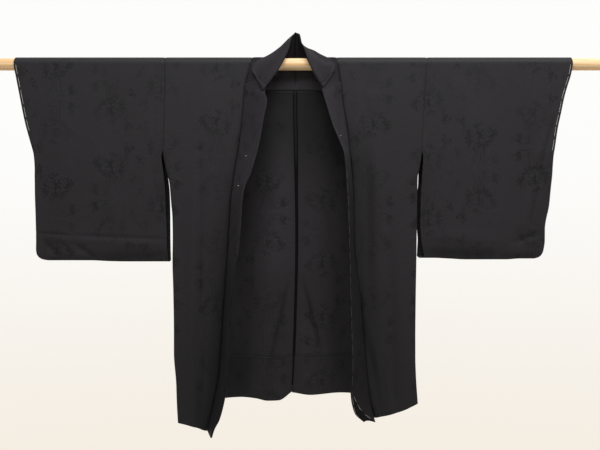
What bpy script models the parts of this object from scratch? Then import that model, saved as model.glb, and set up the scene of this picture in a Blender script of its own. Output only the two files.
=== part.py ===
"""Haori jacket of black figured silk, hung flat over a wooden display rod.

The rod lies along X with its axis through the origin, the wearer's left is at +X and the
front of the jacket faces -Y. Sizes are in millimetres until a mesh is made. Each cloth
piece is an open sheet worked out from the outlines below and given its wall by Solidify.
"""
import bpy
import bmesh
from math import cos, exp, hypot, pi, sin
from mathutils import Vector

MM = 0.001

ROD_RADIUS = 14.0
ROD_LENGTH = 1500.0
ROD_SIDES = 48

CLOTH = 1.5            # wall of the body and the sleeves
COLLAR_CLOTH = 1.2     # wall of one layer of the folded collar
TAPE_CLOTH = 1.0
SEAM_GAP = 0.3         # air between pieces that are sewn together
WRAP_RADIUS = 15.4     # middle of the cloth where it bends over the rod
WRAP_STEPS = 8
QUARTER = WRAP_RADIUS * pi / 2   # cloth from the top of the rod to its front or back

CUFF_OPENING = 209.0
NECKLINE = 59.0        # how far below the rod the back neckline hangs
NECK_HALF = 84.0
TAPE_WIDTH = 10.0
GUSSET_TOP = 208.0
GUSSET_BOW = 11.0      # how far the gusset folds inward at the hem
ROLL_CLEARANCE = 3.9   # how much looser than the body the collar passes over the rod

FRONT = 1
BACK = -1

BODY_COLUMNS = 9
NECK_COLUMNS = 4       # columns of the back that lie under the neck
INNER_STEPS = 8        # steps across the collar, from the seam to the roll
OUTER_STEPS = 4        # and from the roll to the free edge
NECK_ROWS = 6          # rows from the rod down to the back neckline
GUSSET_STEPS = 4


class Table:
    """Rows of named columns, read between the rows along a smooth curve."""

    def __init__(self, names, *rows):
        self.names = names.split()
        self.rows = sorted(rows)

    def at(self, place, name):
        column = self.names.index(name)
        knots = [row[0] for row in self.rows]
        values = [row[column] for row in self.rows]
        place = min(max(place, knots[0]), knots[-1])
        last = len(knots) - 2
        step = next((i for i in range(last + 1) if place <= knots[i + 1]), last)
        spans = [b - a for a, b in zip(knots, knots[1:])]
        rates = [(b - a) / span for a, b, span in zip(values, values[1:], spans)]
        start = self.slope(rates, step - 1)
        end = self.slope(rates, step)
        span = spans[step]
        t = (place - knots[step]) / span
        return (values[step] * (1 + 2 * t) * (1 - t) ** 2
                + start * span * t * (1 - t) ** 2
                + values[step + 1] * t * t * (3 - 2 * t)
                - end * span * t * t * (1 - t))

    @staticmethod
    def slope(rates, step):
        """Slope at the knot after one span, kept level at a peak so nothing overshoots."""
        before = rates[max(step, 0)]
        after = rates[min(step + 1, len(rates) - 1)]
        if before * after <= 0:
            return 0.0
        return 2 * before * after / (before + after)


# How far each sheet stands from the plane of the rod, by the drop below the rod.
HANG = Table("drop body_front body_back sleeve",
             (0, 15.4, 15.4, 15.4),
             (100, 15.7, 15.8, 15.6),
             (200, 16.5, 16.8, 16.0),
             (330, 18.5, 17.5, 12.5),
             (455, 21.0, 18.0, 7.0),
             (620, 24.0, 19.0, 7.0),
             (850, 27.0, 20.0, 7.0))

# Outlines of the body: x of the side seam, and of the collar seam, by the drop.
RIGHT_SIDE = Table("drop x",
                  (0, -302), (120, -303), (200, -305), (228, -299), (275, -290), (350, -280),
                  (460, -276), (617, -275), (740, -267), (845, -263))
LEFT_SIDE = Table("drop x",
                   (0, 306), (45, 301), (95, 298), (160, 294), (200, 292.5), (263, 283),
                   (311, 279), (355, 276), (430, 274), (590, 272), (680, 272), (740, 275),
                   (820, 279))
RIGHT_SEAM = Table("drop x",
                  (-24, -96), (0, -102), (23, -107), (45, -112), (76, -115), (134, -119),
                  (196, -127), (275, -139), (325, -145), (431, -150), (557, -159),
                  (708, -169), (768, -180), (836, -197))
LEFT_SEAM = Table("drop x",
                   (-24, 92), (0, 97), (23, 101), (67, 105), (109, 110), (155, 118),
                   (210, 123), (254, 129), (431, 133), (527, 145), (662, 157), (722, 162),
                   (777, 170), (813, 181))
CENTRE = Table("drop x",
               (0, 0), (60, 0), (200, 2), (400, 4), (600, 0), (775, -7))

# The hems, as drops at places across a panel: 0 at the side seam, 1 at the inner edge.
RIGHT_FRONT_HEM = Table("across drop", (0, 823), (0.4, 832), (0.8, 838), (1, 836))
LEFT_FRONT_HEM = Table("across drop", (0, 778), (0.35, 795), (0.7, 806), (1, 813))
RIGHT_BACK_HEM = Table("across drop",
                      (0, 792), (0.35, 778), (0.55, 774), (0.68, 777), (0.78, 784),
                      (0.88, 783), (1, 762))
LEFT_BACK_HEM = Table("across drop",
                       (0, 776), (0.4, 768), (0.6, 764), (0.85, 770), (1, 764))

# Outlines of the sleeves: x of the open inner edges and of the cuff and outer edge.
RIGHT_SLEEVE = Table("drop front_inner back_inner outer",
                    (-24, -302, -302, -640), (0, -302.3, -302.3, -646),
                    (33, -302.6, -302.6, -638), (76, -303, -303, -629),
                    (134, -304, -304, -619), (175, -305, -305, -609),
                    (200, -305.5, -305.5, -602), (216, -308, -307, -600),
                    (249, -304, -302, -597), (297, -300, -296, -597.5),
                    (392, -297, -293.5, -595), (431, -296, -292, -595),
                    (445, -295.5, -291, -590), (454, -295, -291, -576))
LEFT_SLEEVE = Table("drop front_inner back_inner outer",
                     (-24, 308, 308, 634), (0, 306.4, 306.4, 638),
                     (37, 302.5, 302.5, 627), (76, 299.8, 299.8, 615),
                     (111, 297.6, 297.6, 607), (148, 295.4, 295.4, 600),
                     (200, 293, 293, 595), (216, 295.5, 294.5, 593.5),
                     (263, 293, 290, 589), (330, 290, 287, 583), (375, 289, 286, 575),
                     (410, 292, 285, 575), (431, 296, 285, 571), (440, 298, 285, 567),
                     (448, 299, 285, 553))

# Soft folds: a line from start to end, and how far and how widely it lifts the sheet outward.
FOLDS = "start_x start_drop end_x end_drop width lift"
RIGHT_FRONT_FOLDS = Table(FOLDS,
                         (-223, 250, -219, 560, 20, 3.5),
                         (-262, 330, -252, 760, 16, -3.0),
                         (-178, 300, -206, 780, 18, -3.0))
LEFT_FRONT_FOLDS = Table(FOLDS,
                          (160, 120, 166, 420, 18, -3.5),
                          (188, 90, 196, 640, 18, 3.5),
                          (238, 300, 250, 730, 20, 3.0),
                          (216, 420, 222, 760, 16, -2.5))
RIGHT_BACK_FOLDS = Table(FOLDS,
                        (-24, 520, -62, 745, 16, -5.0),
                        (-150, 240, -120, 700, 26, 4.0),
                        (-236, 300, -230, 720, 24, 3.5))
LEFT_BACK_FOLDS = Table(FOLDS,
                         (26, 527, 61, 735, 16, -5.0),
                         (110, 430, 122, 720, 24, 4.0),
                         (226, 280, 214, 700, 24, 3.5))
RIGHT_SLEEVE_FOLDS = Table(FOLDS,
                          (-596, 392, -310, 405, 12, 2.5),
                          (-570, 40, -520, 330, 30, 2.0),
                          (-430, 60, -400, 350, 34, -2.0),
                          (-470, 428, -300, 432, 10, -2.0))
LEFT_SLEEVE_FOLDS = Table(FOLDS,
                           (588, 140, 540, 378, 18, 3.0),
                           (556, 118, 512, 378, 24, -2.5),
                           (420, 60, 438, 350, 34, 2.0),
                           (300, 415, 478, 428, 10, -2.0))

# The turned-over collar round the neck. run is measured along its sewn edge from the centre
# back. The roll is where it turns over and the edge is its free edge. bow_back and bow_up
# swell the inner half over the rod, and puff swells the turned-over half.
KITE = "run roll_x roll_y roll_z edge_x edge_y edge_z bow_back bow_up puff"
RIGHT_KITE = Table(KITE,
                  (0, 0, 20, 72, 0, 20, 79, 0, 0, 0),
                  (28, -8, 17, 60, -17, 18, 58, 3, 0, 0),
                  (60, -13, 6, 40, -36, 9, 40, 14, 8, 0),
                  (84, -18, -4, 27, -46, 3, 32, 14, 28, -1),
                  (104, -25, -12, 16, -57, -4, 25, 8, 44, -2),
                  (134, -37, -24, -6, -77, -13, 15, 2, 40, -2),
                  (168, -52, -34, -32, -100, -20, 0, 2, 16, 0),
                  (200, -70, -43, -64, -103, -27, -30, -2, 8, 7))
LEFT_KITE = Table(KITE,
                   (0, 0, 20, 72, 0, 20, 79, 0, 0, 0),
                   (28, 13, 17, 44, 19, 17, 48, 3, 0, 0),
                   (60, 20, 4, 33, 31, 6, 38, 14, 10, 0),
                   (84, 24, -5, 23, 42, 2, 31, 14, 28, -1),
                   (104, 29, -12, 13, 55, -4, 25, 8, 44, -2),
                   (134, 41, -26, -16, 80, -14, 14, 2, 40, -2),
                   (168, 53, -36, -36, 95, -22, -4, 2, 16, 0),
                   (196, 63, -44, -56, 92, -30, -28, -2, 8, 7))

# The band down each front: where the roll stands, how much lower it hangs than the seam,
# and how wide the fold gapes.
BAND = "drop roll_x roll_y sag gape"
RIGHT_BAND = Table(BAND,
                  (42, -68, -46, 34, 1.3), (62, -63, -55, 31, 1.3), (105, -70, -59, 26, 1.3),
                  (170, -79, -65, 16, 1.3), (245, -97, -72, 8, 1.3), (300, -115, -77, 4, 1.3),
                  (418, -124, -80, 0, 1.3), (505, -138, -83, 0, 1.3), (580, -143, -84, 0, 1.5),
                  (667, -145, -85, 0, 2.0), (718, -150, -84, 1, 2.5), (765, -159, -76, 5, 3.0),
                  (802, -171, -68, 10, 3.5), (836, -186, -61, 14, 4.0))
LEFT_BAND = Table(BAND,
                   (40, 62, -50, 28, 1.3), (60, 66, -62, 24, 1.3), (95, 74, -71, 18, 1.3),
                   (140, 85, -76, 10, 1.3), (180, 99, -79, 5, 1.3), (217, 111, -80, 1, 1.3),
                   (300, 117, -82, 0, 1.3), (429, 121, -84, 0, 1.3), (522, 123, -86, 0, 1.3),
                   (608, 125, -86, 0, 2.0), (680, 127, -84, 0, 3.0), (735, 127, -78, 0, 4.5),
                   (777, 133, -70, 2, 6.5), (813, 150, -62, 4, 8.0))


def fold_push(folds, x, drop):
    """How far a table of folds pushes a sheet outward at a place."""
    push = 0.0
    for start_x, start_drop, end_x, end_drop, width, lift in folds.rows:
        along = Vector((end_x - start_x, end_drop - start_drop))
        out = Vector((x - start_x, drop - start_drop))
        share = min(max(out.dot(along) / along.length_squared, 0.0), 1.0)
        away = (out - along * share).length
        push += lift * exp(-(away / width) ** 2)
    return push


def over_rod(x, turn):
    """Middle of the cloth on the rod, turn quarter-circles from the top towards the front."""
    angle = turn * pi / 2
    return Vector((x, -WRAP_RADIUS * sin(angle), WRAP_RADIUS * cos(angle)))


def hanging(x, drop, face, sheet, folds):
    """Middle of a hanging sheet; its folds fade in below the rod."""
    fade = min(max((drop - 20) / 60, 0.0), 1.0)
    depth = HANG.at(drop, sheet) + fade * fold_push(folds, x, drop)
    return Vector((x, -face * depth, -drop))


def spread(start, end, count):
    """Evenly spaced values from start to end."""
    return [start + (end - start) * i / count for i in range(count + 1)]


class Body:
    """One half of the body: a front and a back cut in one over the shoulder."""

    def __init__(self, hand, side, seam, front_hem, back_hem, front_folds, back_folds):
        self.hand = hand
        self.side = side
        self.seam = seam
        self.hems = {FRONT: front_hem, BACK: back_hem}
        self.folds = {FRONT: front_folds, BACK: back_folds}
        self.nominal = {FRONT: max(row[0] for row in seam.rows), BACK: 775.0}

    def drop_at(self, nominal, across, face):
        """True drop of a row, which eases from level to the slant of the hem."""
        full = self.nominal[face]
        ease = max((nominal - full * 0.45) / (full * 0.55), 0.0) ** 2
        return nominal + ease * (self.hems[face].at(across, "drop") - full)

    def front_point(self, across, nominal):
        side = self.side.at(nominal, "x")
        x = side + (self.seam.at(nominal, "x") - side) * across
        drop = self.drop_at(nominal, across, FRONT)
        return hanging(x, drop, FRONT, "body_front", self.folds[FRONT])

    def back_point(self, across, nominal):
        """A point on the back; across runs from the side seam to the centre back."""
        side = self.side.at(nominal, "x")
        centre = self.centre_edge(nominal)
        x = side + (centre - side) * across
        drop = self.drop_at(nominal, across, BACK)
        return hanging(x, drop, BACK, "body_back", self.folds[BACK])

    def centre_edge(self, nominal):
        return CENTRE.at(nominal, "x") + self.hand * SEAM_GAP / 2

    def neck_share(self, nominal):
        """Where the line down from the corner of the neck lies across the back."""
        side = self.side.at(nominal, "x")
        neck = self.hand * NECK_HALF
        return (neck - side) / (self.centre_edge(nominal) - side)

    def neck_edge(self, run):
        """The edge that the collar is sewn to, by the run from the centre back."""
        if run <= NECK_HALF:
            return self.back_sheet(self.hand * run, NECKLINE)
        rise = run - NECK_HALF
        if rise <= NECKLINE:
            x = self.hand * (NECK_HALF + 8 * rise / NECKLINE)
            return self.back_sheet(x, NECKLINE - rise)
        wrapped = rise - NECKLINE
        if wrapped <= 2 * QUARTER:
            turn = wrapped / QUARTER - 1
            start = self.hand * (NECK_HALF + 8)
            end = self.seam.at(0, "x")
            return over_rod(start + (end - start) * (turn + 1) / 2, turn)
        return self.front_point(1.0, wrapped - 2 * QUARTER)

    def back_sheet(self, x, drop):
        return hanging(x, drop, BACK, "body_back", self.folds[BACK])

    def patches(self, front_rows, back_rows):
        shares = spread(0.0, 1.0, BODY_COLUMNS)
        front = []
        for nominal in front_rows:
            front.append([self.front_point(share, nominal) for share in shares])
        wrap = []
        for step in range(1, WRAP_STEPS):
            turn = 1 - 2 * step / WRAP_STEPS
            neck = self.neck_edge(NECK_HALF + NECKLINE + (turn + 1) * QUARTER)
            side = self.side.at(0, "x")
            wrap.append([over_rod(side + (neck.x - side) * share, turn) for share in shares])
        shoulder = []
        for drop in spread(0.0, NECKLINE, NECK_ROWS):
            neck = self.neck_edge(NECK_HALF + NECKLINE - drop)
            side = self.side.at(drop, "x")
            shoulder.append([self.back_sheet(side + (neck.x - side) * share, drop)
                             for share in shares])
        outer_back = []
        inner_back = []
        for nominal in [NECKLINE] + back_rows:
            corner = self.neck_share(nominal)
            outer_back.append([self.back_point(share * corner, nominal) for share in shares])
            inner = spread(corner, 1.0, NECK_COLUMNS)
            inner_back.append([self.back_point(share, nominal) for share in inner])
        strip = list(reversed(front)) + wrap + shoulder + outer_back[1:]
        return [strip, inner_back]


RIGHT_BODY = Body(-1, RIGHT_SIDE, RIGHT_SEAM, RIGHT_FRONT_HEM, RIGHT_BACK_HEM,
                 RIGHT_FRONT_FOLDS, RIGHT_BACK_FOLDS)
LEFT_BODY = Body(1, LEFT_SIDE, LEFT_SEAM, LEFT_FRONT_HEM, LEFT_BACK_HEM,
                  LEFT_FRONT_FOLDS, LEFT_BACK_FOLDS)


def sleeve_patches(outline, folds, columns, rows):
    """A sleeve is a flat tube over the rod, closed below the cuff opening on its outer edge."""
    shares = spread(0.0, 1.0, columns)
    bottom = rows[-1]
    fold_depth = HANG.at(bottom, "sleeve")

    def point(share, drop, face):
        inner = outline.at(drop, "front_inner" if face == FRONT else "back_inner")
        x = inner + (outline.at(drop, "outer") - inner) * share
        return hanging(x, drop, face, "sleeve", folds)

    front = [[point(share, drop, FRONT) for share in shares] for drop in rows]
    back = [[point(share, drop, BACK) for share in shares] for drop in rows]
    top = []
    for step in range(1, WRAP_STEPS):
        turn = -1 + 2 * step / WRAP_STEPS
        inner = outline.at(0, "front_inner")
        outer = outline.at(-24 * cos(turn * pi / 2), "outer")
        top.append([over_rod(inner + (outer - inner) * share, turn) for share in shares])

    def closed_end(front_point, back_point, outward):
        """Points of a small rounded end between the two layers."""
        ends = []
        for angle in spread(0, pi, 4):
            ends.append(front_point.lerp(back_point, (1 - cos(angle)) / 2)
                        + outward * min(fold_depth, 5.0) * sin(angle))
        return ends

    down = Vector((0, 0, -1))
    bottom_rows = [closed_end(a, b, down) for a, b in zip(front[-1], back[-1])]
    bottom_fold = [list(row) for row in zip(*bottom_rows)]
    ring = list(reversed(back)) + top + front + bottom_fold[1:]

    wall = []
    hand = 1 if front[0][0].x > 0 else -1
    for drop, front_row, back_row in zip(rows, front, back):
        if drop < CUFF_OPENING:
            continue
        slope = (outline.at(drop + 2, "outer") - outline.at(drop - 2, "outer")) / 4
        outward = Vector((hand, 0, slope)).normalized()
        if drop == bottom:
            outward = down
        wall.append(closed_end(front_row[-1], back_row[-1], outward))
    return [ring, wall]


def gusset_patch(body, front_rows, back_rows):
    """The side gusset: a narrow wall from the front's side edge to the back's."""
    inset = CLOTH / 2 + 2 * SEAM_GAP + COLLAR_CLOTH / 2
    patch = []
    for front_drop, back_drop in zip(front_rows, back_rows):
        front = body.front_point(0.0, front_drop) + Vector((0, inset, 0))
        back = body.back_point(0.0, back_drop) + Vector((0, -inset, 0))
        bow = GUSSET_BOW * back_drop / body.nominal[BACK]
        row = []
        for share in spread(0.0, 1.0, GUSSET_STEPS):
            inward = COLLAR_CLOTH / 2 + bow * sin(share * pi)
            row.append(front.lerp(back, share) - Vector((body.hand * inward, 0, 0)))
        patch.append(row)
    return patch


def blend(a, b, c, share):
    """A point on the curve from a to c that bends towards b."""
    return a * (1 - share) ** 2 + b * 2 * share * (1 - share) + c * share ** 2


def clear_of_rod(point, radius):
    """Move a point straight out from the rod where it would be nearer than radius."""
    reach = hypot(point.y, point.z)
    if reach >= radius:
        return point
    return Vector((point.x, point.y * radius / reach, point.z * radius / reach))


class Collar:
    """One half of the collar, from the centre back to the front hem.

    Its strip is sewn on along one edge, rolls over, and its free edge lies over the seam.
    """

    def __init__(self, body, kite, band):
        self.body = body
        self.stations = [self.kite_station(kite, row) for row in kite.rows]
        self.stations += [self.band_station(band, row) for row in band.rows]
        names = "run roll_x roll_y roll_z edge_x edge_y edge_z bow_back bow_up puff gape"
        self.table = Table(names, *self.stations)

    @staticmethod
    def kite_station(kite, row):
        return tuple(row) + (3.0,)

    def band_station(self, band, row):
        drop, roll_x, roll_y, sag, gape = row
        run = NECK_HALF + NECKLINE + 2 * QUARTER + drop
        seam = self.body.neck_edge(run)
        lap = COLLAR_CLOTH / 2 + SEAM_GAP + CLOTH / 2 + 0.5
        edge = seam + Vector((self.body.hand * 3.0, -lap, -min(sag, 6)))
        return (run, roll_x, roll_y, seam.z - sag, edge.x, edge.y, edge.z, 0, 0, 0, gape)

    def vector(self, run, name):
        return Vector([self.table.at(run, name + axis) for axis in ("_x", "_y", "_z")])

    def sewn_edge(self, run):
        """The collar's own edge, set just off the edge that it is sewn to."""
        edge = self.body.neck_edge(run)
        offset = SEAM_GAP + COLLAR_CLOTH / 2 + 0.2
        if run <= NECK_HALF - offset:
            side = max(run, SEAM_GAP / 2)
            return self.body.back_sheet(self.body.hand * side, NECKLINE - offset)
        edge.x -= self.body.hand * offset
        if run <= NECK_HALF + offset:
            edge.z = -NECKLINE + offset
        return edge

    def section(self, run):
        """Points across the strip at one station."""
        sewn = self.sewn_edge(run)
        roll = self.vector(run, "roll")
        edge = self.vector(run, "edge")
        gape = self.table.at(run, "gape")
        bow = Vector((0, self.table.at(run, "bow_back"), self.table.at(run, "bow_up")))
        if run == 0:
            for point in (sewn, roll, edge):
                point.x = self.body.hand * (SEAM_GAP + COLLAR_CLOTH) / 2
        inner_bend = (sewn + roll) / 2 + bow
        to_sewn = (inner_bend - roll).normalized()
        to_edge = (edge - roll).normalized()
        beside = edge - sewn
        beside = (beside - to_sewn * beside.dot(to_sewn)).normalized()
        parting = beside * gape * (1 + to_sewn.dot(to_edge)) / 2
        inner_end = roll + to_sewn * gape - parting
        outer_start = roll + to_edge * gape + parting
        spine = self.vector(min(run + 4, self.table.rows[-1][0]), "roll") \
            - self.vector(max(run - 4, 0), "roll")
        outward = spine.cross(edge - roll).normalized() * self.body.hand
        inner = []
        for share in spread(0.0, 1.0, INNER_STEPS):
            point = blend(sewn, inner_bend, inner_end, share)
            ease = ROLL_CLEARANCE * min(share * INNER_STEPS, 1.0)
            inner.append(clear_of_rod(point, WRAP_RADIUS + ease))
        swell = (outer_start + edge) / 2 + outward * self.table.at(run, "puff")
        outer = []
        for share in spread(0.0, 1.0, OUTER_STEPS):
            point = blend(outer_start, swell, edge, share)
            outer.append(clear_of_rod(point, WRAP_RADIUS + 2 * ROLL_CLEARANCE))
        return inner + [roll] + outer

    def patch(self, runs):
        return [self.section(run) for run in runs]


RIGHT_COLLAR = Collar(RIGHT_BODY, RIGHT_KITE, RIGHT_BAND)
LEFT_COLLAR = Collar(LEFT_BODY, LEFT_KITE, LEFT_BAND)


def tape_patch(rows):
    """The narrow tape over the centre back seam, laid on the inside of the back."""
    lift = Vector((0, -(CLOTH / 2 + 2 * SEAM_GAP + TAPE_CLOTH / 2), 0))
    patch = []
    for nominal in rows:
        row = []
        for body in (RIGHT_BODY, LEFT_BODY):
            corner = body.neck_share(nominal)
            edge = body.back_point(1.0, nominal)
            inside = body.back_point(1.0 - (1.0 - corner) / NECK_COLUMNS, nominal)
            share = (TAPE_WIDTH / 2) / abs(edge.x - inside.x)
            row.append(edge.lerp(inside, share) + lift)
        middle = row[0].lerp(row[1], 0.5)
        patch.append([row[0], middle, row[1]])
    return patch


def make_material(name, colour, roughness):
    material = bpy.data.materials.new(name)
    material.use_nodes = True
    shader = material.node_tree.nodes["Principled BSDF"]
    shader.inputs["Base Color"].default_value = (*colour, 1.0)
    shader.inputs["Roughness"].default_value = roughness
    material.diffuse_color = (*colour, 1.0)
    return material


def make_sheet(name, patches, thickness, material, collection):
    """Join grids of points into one open sheet, and give it a wall."""
    mesh = bpy.data.meshes.new(name)
    sheet = bmesh.new()
    for patch in patches:
        grid = [[sheet.verts.new(point * MM) for point in row] for row in patch]
        for upper, lower in zip(grid, grid[1:]):
            for i in range(len(upper) - 1):
                sheet.faces.new((upper[i], upper[i + 1], lower[i + 1], lower[i]))
    bmesh.ops.remove_doubles(sheet, verts=sheet.verts, dist=0.01 * MM)
    bmesh.ops.recalc_face_normals(sheet, faces=sheet.faces)
    sheet.to_mesh(mesh)
    sheet.free()
    mesh.shade_smooth()
    mesh.materials.append(material)
    piece = bpy.data.objects.new(name, mesh)
    collection.objects.link(piece)
    wall = piece.modifiers.new("wall", "SOLIDIFY")
    wall.thickness = thickness * MM
    wall.offset = 0.0
    wall.use_even_offset = True
    wall.use_quality_normals = True
    return piece


def make_rod(material, collection):
    bpy.ops.mesh.primitive_cylinder_add(vertices=ROD_SIDES, radius=ROD_RADIUS * MM,
                                        depth=ROD_LENGTH * MM, rotation=(0, pi / 2, 0))
    rod = bpy.context.object
    rod.name = "rod"
    rod.data.materials.append(material)
    rod.data.shade_smooth()
    rod.data.set_sharp_from_angle(angle=pi / 4)
    for owner in list(rod.users_collection):
        owner.objects.unlink(rod)
    collection.objects.link(rod)
    return rod


def main():
    for thing in list(bpy.data.objects):
        bpy.data.objects.remove(thing, do_unlink=True)
    collection = bpy.data.collections.new("haori jacket")
    bpy.context.scene.collection.children.link(collection)

    silk = make_material("black silk", (0.025, 0.023, 0.026), 0.62)
    collar_silk = make_material("black silk collar", (0.032, 0.03, 0.032), 0.58)
    tape_silk = make_material("black seam tape", (0.012, 0.011, 0.012), 0.7)
    wood = make_material("pale wood", (0.78, 0.56, 0.3), 0.55)

    front_drops = [0, 20, 45, 76, 110, 150, 200, 260, 325, 390, 455, 520, 585, 650, 710, 765]
    back_drops = [90, 130, 165, 200, 260, 325, 390, 455, 520, 585, 650, 710, 750]
    for name, body in (("body_left", LEFT_BODY), ("body_right", RIGHT_BODY)):
        front_rows = front_drops + [body.nominal[FRONT]]
        back_rows = back_drops + [body.nominal[BACK]]
        patches = body.patches(front_rows, back_rows)
        make_sheet(name, patches, CLOTH, silk, collection)

    sleeve_drops = [0, 33, 76, 120, 165, 209, 250, 297, 345, 380, 400, 418, 431]
    for name, outline, folds, ends in (
            ("sleeve_left", LEFT_SLEEVE, LEFT_SLEEVE_FOLDS, [440, 448]),
            ("sleeve_right", RIGHT_SLEEVE, RIGHT_SLEEVE_FOLDS, [445, 454])):
        patches = sleeve_patches(outline, folds, 9, sleeve_drops + ends)
        make_sheet(name, patches, CLOTH, silk, collection)

    for name, body in (("gusset_left", LEFT_BODY), ("gusset_right", RIGHT_BODY)):
        front_rows = [GUSSET_TOP] + front_drops[7:] + [body.nominal[FRONT]]
        back_rows = [GUSSET_TOP] + back_drops[4:] + [body.nominal[BACK]]
        patch = gusset_patch(body, front_rows, back_rows)
        make_sheet(name, [patch], COLLAR_CLOTH, silk, collection)

    shoulder = NECK_HALF + NECKLINE
    neck_runs = [0, 14, 28, 44, 60, 72, 82.9]
    neck_runs += [shoulder - drop for drop in reversed(spread(0, NECKLINE, NECK_ROWS)[:-1])]
    neck_runs += [shoulder + run for run in spread(0, 2 * QUARTER, WRAP_STEPS)[1:]]
    for name, collar, kite in (("collar_left", LEFT_COLLAR, LEFT_KITE),
                               ("collar_right", RIGHT_COLLAR, RIGHT_KITE)):
        tuck_runs = [kite.rows[-1][0], collar.stations[len(kite.rows)][0]]
        band_drops = [60] + front_drops[3:] + [collar.body.nominal[FRONT]]
        band_runs = [shoulder + 2 * QUARTER + drop for drop in band_drops]
        runs = neck_runs + tuck_runs + band_runs
        make_sheet(name, [collar.patch(runs)], COLLAR_CLOTH, collar_silk, collection)

    tape = tape_patch([NECKLINE] + back_drops)
    make_sheet("centre_back_tape", [tape], TAPE_CLOTH, tape_silk, collection)
    make_rod(wood, collection)


main()
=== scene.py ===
# A black silk haori, hung flat over a pale wooden display rod.
# The wearer's left is at +X and the front faces -Y. Sizes are in millimetres until a mesh is made.
import bisect
from math import cos, exp, hypot, pi, sin
import bpy
import bmesh
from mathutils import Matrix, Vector, noise


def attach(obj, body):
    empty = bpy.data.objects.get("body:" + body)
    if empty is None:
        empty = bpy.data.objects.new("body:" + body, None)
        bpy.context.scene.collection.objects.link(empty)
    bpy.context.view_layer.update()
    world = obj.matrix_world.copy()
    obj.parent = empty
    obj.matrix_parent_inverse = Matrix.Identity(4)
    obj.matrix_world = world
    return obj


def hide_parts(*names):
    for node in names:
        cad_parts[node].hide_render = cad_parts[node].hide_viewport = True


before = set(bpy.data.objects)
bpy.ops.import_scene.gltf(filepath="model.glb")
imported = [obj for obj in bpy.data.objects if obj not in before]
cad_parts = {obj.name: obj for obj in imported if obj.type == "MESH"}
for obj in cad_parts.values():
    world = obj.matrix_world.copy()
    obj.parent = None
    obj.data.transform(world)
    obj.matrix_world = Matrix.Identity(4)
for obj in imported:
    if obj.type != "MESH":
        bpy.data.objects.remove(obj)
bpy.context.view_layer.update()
mm = 0.001

seamGap = 0.04                 # sewn edges all but touch
wrapSteps = 14                 # rows of cloth over the rod
wrapRadius = 15.4              # middle of the cloth where it bends over the rod
rodDip = 0.6                   # no seam sinks further than this over the rod
quarter = wrapRadius * pi / 2  # cloth from the top of the rod to its front or back
neckDrop = 59.0                # how far below the rod the back neckline hangs
neckHalf = 84.0                # half its width, and how much wider it is at the rod
neckLean = 8
front = 1
back = -1


class Chart:
    # Rows of named columns, read between the rows along a smooth curve.
    def __init__(self, names, *rows):
        self.rows = sorted(rows)
        self.knots = [row[0] for row in self.rows]
        self.curves = {}
        for column, name in enumerate(names.split()):
            values = [row[column] for row in self.rows]
            rates = [(values[i + 1] - values[i]) / (self.knots[i + 1] - self.knots[i] or 1)
                     for i in range(len(values) - 1)]
            slopes = [self.slope(rates, i) for i in range(len(values))]
            self.curves[name] = (values, slopes)

    @staticmethod
    def slope(rates, knot):
        # level at a peak, so that nothing overshoots
        before = rates[max(knot - 1, 0)]
        after = rates[min(knot, len(rates) - 1)]
        if before * after <= 0:
            return 0.0
        return 2 * before * after / (before + after)

    def at(self, place, name):
        values, slopes = self.curves[name]
        knots = self.knots
        place = min(max(place, knots[0]), knots[-1])
        i = min(bisect.bisect_right(knots, place) - 1, len(knots) - 2)
        span = knots[i + 1] - knots[i]
        t = (place - knots[i]) / span
        return (values[i] * (1 + 2 * t) * (1 - t) ** 2 + slopes[i] * span * t * (1 - t) ** 2
                + values[i + 1] * t * t * (3 - 2 * t) - slopes[i + 1] * span * t * t * (1 - t))


def spread(start, end, count):
    return [start + (end - start) * i / count for i in range(count + 1)]


def sharesWithEdges(width, cell):
    # shares across a sheet, closer together beside its two edges
    close = [mark / width for mark in (0, 1.2, 2.4, 3.8, 5.4, 7.2, 9.2, 11.6, 14.4)]
    middle = stepsOf(close[-1], 1 - close[-1], cell / width)
    return close[:-1] + middle + [1 - share for share in reversed(close[:-1])]


def stepsOf(start, end, size):
    # evenly spaced values about size apart
    return spread(start, end, max(1, round(abs(end - start) / size)))


def ramp(value, start, end):
    # 0 before start, 1 after end, smooth between
    t = min(max((value - start) / (end - start), 0.0), 1.0)
    return t * t * (3 - 2 * t)


# How far each sheet stands from the plane of the rod, by the drop below the rod.
hang = Chart("drop bodyFront bodyBack sleeve",
    (0, 15.4, 15.4, 15.4), (100, 15.7, 15.8, 15.6), (200, 16.5, 16.8, 16.0),
    (330, 18.5, 17.5, 12.5), (455, 21.0, 18.0, 7.0), (620, 24.0, 19.0, 7.0),
    (850, 27.0, 20.0, 7.0))


class Folds:
    # Soft folds: a line from start to end, how wide it is and how far it lifts the sheet.
    # The side of a fold that faces up is spread wider, and its ends run out softly.
    # Tables of painted shade and light take the same form, with how dark in place of the lift.
    upperReach = 1.1
    endShare = 0.35
    taperTo = 0.3
    cutOff = 7   # times its width, beyond which a fold no longer counts

    def __init__(self, *rows):
        self.rows = rows

    def push(self, x, drop):
        total = 0.0
        for startX, startDrop, endX, endDrop, width, lift in self.rows:
            alongX, alongDrop = endX - startX, endDrop - startDrop
            outX, outDrop = x - startX, drop - startDrop
            share = (outX * alongX + outDrop * alongDrop) / (alongX ** 2 + alongDrop ** 2)
            share = min(max(share, 0.0), 1.0)
            awayX, awayDrop = outX - alongX * share, outDrop - alongDrop * share
            away = hypot(awayX, awayDrop)
            if away < self.cutOff * width:
                upward = -awayDrop if lift > 0 else awayDrop
                reach = width * (1 + self.upperReach * max(upward, 0.0) / (away or 1.0))
                taper = ramp(min(share, 1 - share), 0.0, self.taperTo)
                taper = self.endShare + (1 - self.endShare) * taper
                total += lift * taper * exp(-(away / reach) ** 2)
        return total


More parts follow.
